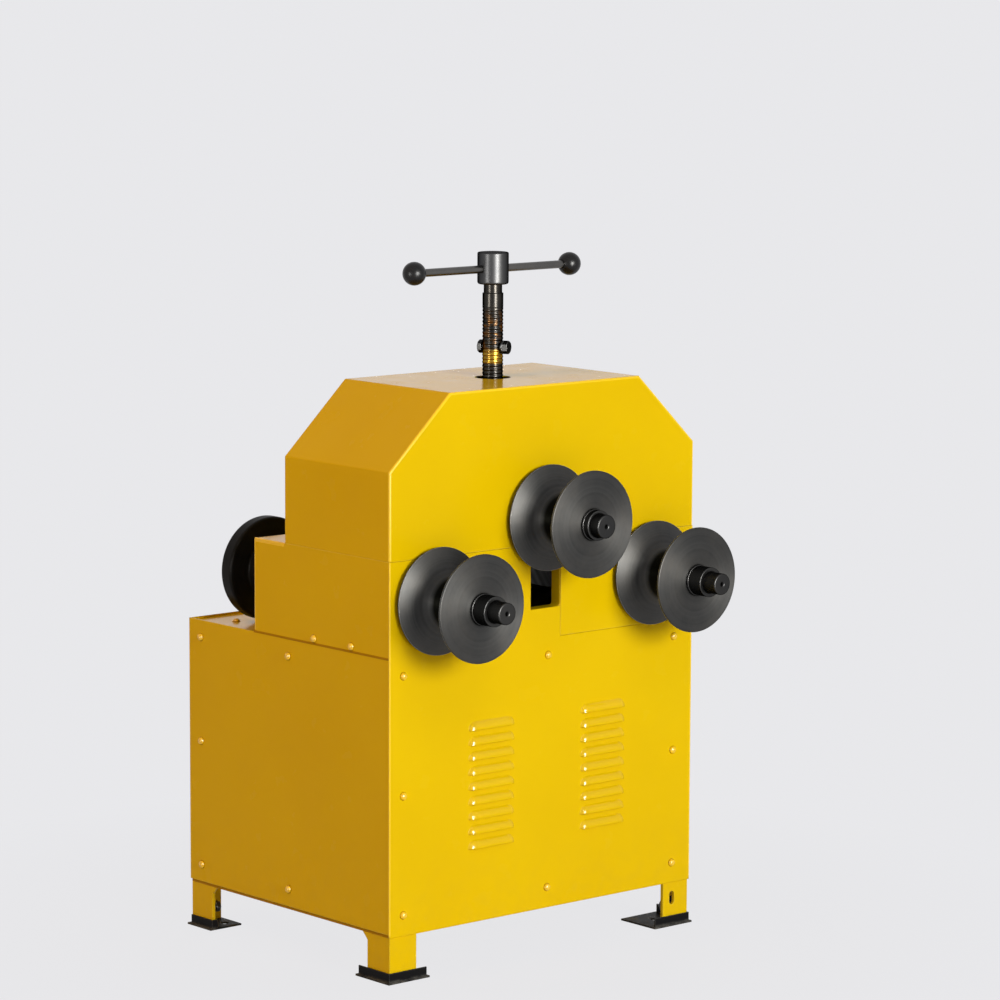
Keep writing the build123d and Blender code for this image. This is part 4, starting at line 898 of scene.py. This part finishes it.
def switchKnob(spec):
    place = Matrix.Translation((0, spec["y"], spec["z"])) @ Matrix.Rotation(math.radians(90), 4, "Y")
    seat, face, flange, spindle = spec["seat"], spec["seat"] + spec["wall"], spec["flange"], spec["spindle"]
    outline = [(0, spec["spindleEnd"]), (spindle, spec["spindleEnd"]), (spindle, seat), (flange, seat)]
    crown = softCorners([(flange, seat), (flange, face), (0, face)], spec["soft"], spec["softSteps"], False)
    mesh = bmesh.new()
    turnMesh(mesh, scaled(outline + crown[1:]), spec["segments"], False)
    slotBlock(mesh, spec["gripHalf"], 0.0, face - spec["gripSunk"], spec["gripTop"],
              spec["gripSoft"], spec["gripSteps"])
    finishPiece("switchKnobGrip", mesh, "knobBlack", "switch", ["switch_knob"], place)
    stripe = bmesh.new()
    slotBlock(stripe, spec["stripeHalf"], -spec["stripeMiddle"], spec["gripTop"] - spec["stripeSunk"],
              spec["stripeTop"], spec["stripeSoft"], spec["stripeSteps"])
    finishPiece("switchPointer", stripe, "markWhite", "switch", (), place)


switchKnob(knob)
print("seams, edges and switch made")

# Camera: where the photograph was taken from, and its lens
cameraSpec = {
    "place": (-4.32275, -5.13293, 1.64517), "yaw": 0.7144, "pitch": 0.1375, "roll": 0.0045, "lens": 147.44,
    "sensor": 36.0, "clipEnd": 400.0}


def makeCamera(spec):
    yaw, pitch, roll = spec["yaw"], spec["pitch"], spec["roll"]
    ahead = Vector((math.sin(yaw) * math.cos(pitch), math.cos(yaw) * math.cos(pitch), -math.sin(pitch)))
    right = Vector((math.cos(yaw), -math.sin(yaw), 0))
    up = right.cross(ahead)
    turnedRight = right * math.cos(roll) + up * math.sin(roll)
    turnedUp = up * math.cos(roll) - right * math.sin(roll)
    data = bpy.data.cameras.new("shopCamera")
    data.lens, data.sensor_width, data.clip_end = spec["lens"], spec["sensor"], spec["clipEnd"]
    camera = bpy.data.objects.new("shopCamera", data)
    axes = Matrix((turnedRight, turnedUp, -ahead)).transposed().to_4x4()
    camera.matrix_world = Matrix.Translation(spec["place"]) @ axes
    bpy.context.scene.collection.objects.link(camera)
    bpy.context.scene.camera = camera


makeCamera(cameraSpec)

# Pale studio: what the camera and glossy surfaces see, and what lights the machine
studio = {
    "backdrop": (0.807, 0.807, 0.828, 1), "ambient": (1.0, 0.86, 0.68, 1), "ambientStrength": 0.115,
    "floorSize": 240.0, "floorColour": (0.62, 0.62, 0.63, 1), "floorRoughness": 0.9, "floorShow": 0.955,
    "shadowReach": (0.45, 1.1)}
# Soft lamps light the paint, the mirrored panels draw the highlights on steel and folded edges
softLamp = {"mirrored": False, "lights": True}
mirrorLamp = {"mirrored": True, "lights": False, "colour": (1.0, 0.99, 0.96)}
lampSpecs = {
    "keyPanel": {"place": (-0.3, -6.3, 2.0), "aim": (0, 0, 0.6), "size": (2.4, 2.0), "power": 278.0,
                 "colour": (1.0, 1.0, 0.95), "mirrored": True, "lights": True},
    "frontTopPanel": dict(softLamp, place=(-1.0, -3.4, 4.6), aim=(0, 0, 0.7), size=(1.8, 1.4), power=26.0,
                          colour=(1.0, 0.97, 0.92)),
    "leftTopPanel": dict(softLamp, place=(-3.4, 0.0, 4.2), aim=(0, 0, 0.7), size=(1.8, 1.8), power=88.0,
                         colour=(1.0, 0.62, 0.26)),
    "sidePanel": dict(softLamp, place=(-5.0, 0.8, 2.2), aim=(0, 0, 0.5), size=(2.0, 2.0), power=8.0,
                      colour=(1.0, 0.31, 0.03)),
    "backPanel": dict(softLamp, place=(4.5, 4.3, 1.3), aim=(0, 0, 0.5), size=(2.6, 1.8), power=260.0,
                      colour=(1.0, 0.98, 0.93)),
    "streakPanel": dict(mirrorLamp, place=(-1.1, -6.1, 1.5), aim=(0, 0, 0.6), size=(1.6, 2.7), power=620.0),
    "rimPanel": dict(mirrorLamp, place=(-6.0, -0.8, 1.0), aim=(0, 0, 0.8), size=(1.2, 1.8), power=150.0),
}


def seenDirectly(tree):
    path = addNode(tree, "ShaderNodeLightPath").outputs
    either = mathNode(tree, "MAXIMUM", path["Is Camera Ray"], path["Is Glossy Ray"])
    return mathNode(tree, "MAXIMUM", either, path["Is Transmission Ray"])


def makeWorld(spec):
    world = bpy.data.worlds.new("studioWorld")
    bpy.context.scene.world = world
    world.use_nodes = True
    tree = world.node_tree
    back = tree.nodes["Background"]
    seen = seenDirectly(tree)
    tree.links.new(mixColour(tree, seen, spec["ambient"], spec["backdrop"]), back.inputs["Color"])
    tree.links.new(remap(tree, seen, 0.0, 1.0, spec["ambientStrength"], 1.0), back.inputs["Strength"])


def makeFloor(spec):
    half = spec["floorSize"]
    mesh = bpy.data.meshes.new("studioFloor")
    mesh.from_pydata([(-half, -half, 0), (half, -half, 0), (half, half, 0), (-half, half, 0)], [], [(0, 1, 2, 3)])
    floor = bpy.data.objects.new("studioFloor", mesh)
    bpy.context.scene.collection.objects.link(floor)
    material, tree, shader = newMaterial("studioFloor", {
        "Base Color": spec["floorColour"], "Roughness": spec["floorRoughness"]})
    glow = addNode(tree, "ShaderNodeEmission", {}, {"Color": spec["backdrop"]})
    away = vectorNode(tree, "LENGTH", {0: objectPlace(tree)})["Value"]
    far = remap(tree, away, *spec["shadowReach"], spec["floorShow"], 1.0)  # plain backdrop colour away from the feet
    show = mathNode(tree, "MULTIPLY", seenDirectly(tree), far)
    mixed = addNode(tree, "ShaderNodeMixShader", {}, {0: show, 1: shader.outputs[0], 2: glow.outputs[0]})
    tree.links.new(mixed.outputs[0], tree.nodes["Material Output"].inputs["Surface"])
    mesh.materials.append(material)


def makeLamps(lamps):
    for name, lamp in lamps.items():
        data = bpy.data.lights.new(name, "AREA")
        data.shape, (data.size, data.size_y) = "RECTANGLE", lamp["size"]
        data.energy, data.color = lamp["power"], lamp["colour"]
        light = bpy.data.objects.new(name, data)
        light.location = lamp["place"]
        light.visible_glossy, light.visible_diffuse = lamp["mirrored"], lamp["lights"]
        light.rotation_euler = (Vector(lamp["aim"]) - Vector(lamp["place"])).to_track_quat("-Z", "Y").to_euler()
        bpy.context.scene.collection.objects.link(light)


makeWorld(studio)
makeFloor(studio)
makeLamps(lampSpecs)
bpy.context.scene.view_settings.view_transform = "Standard"
print("studio ready")
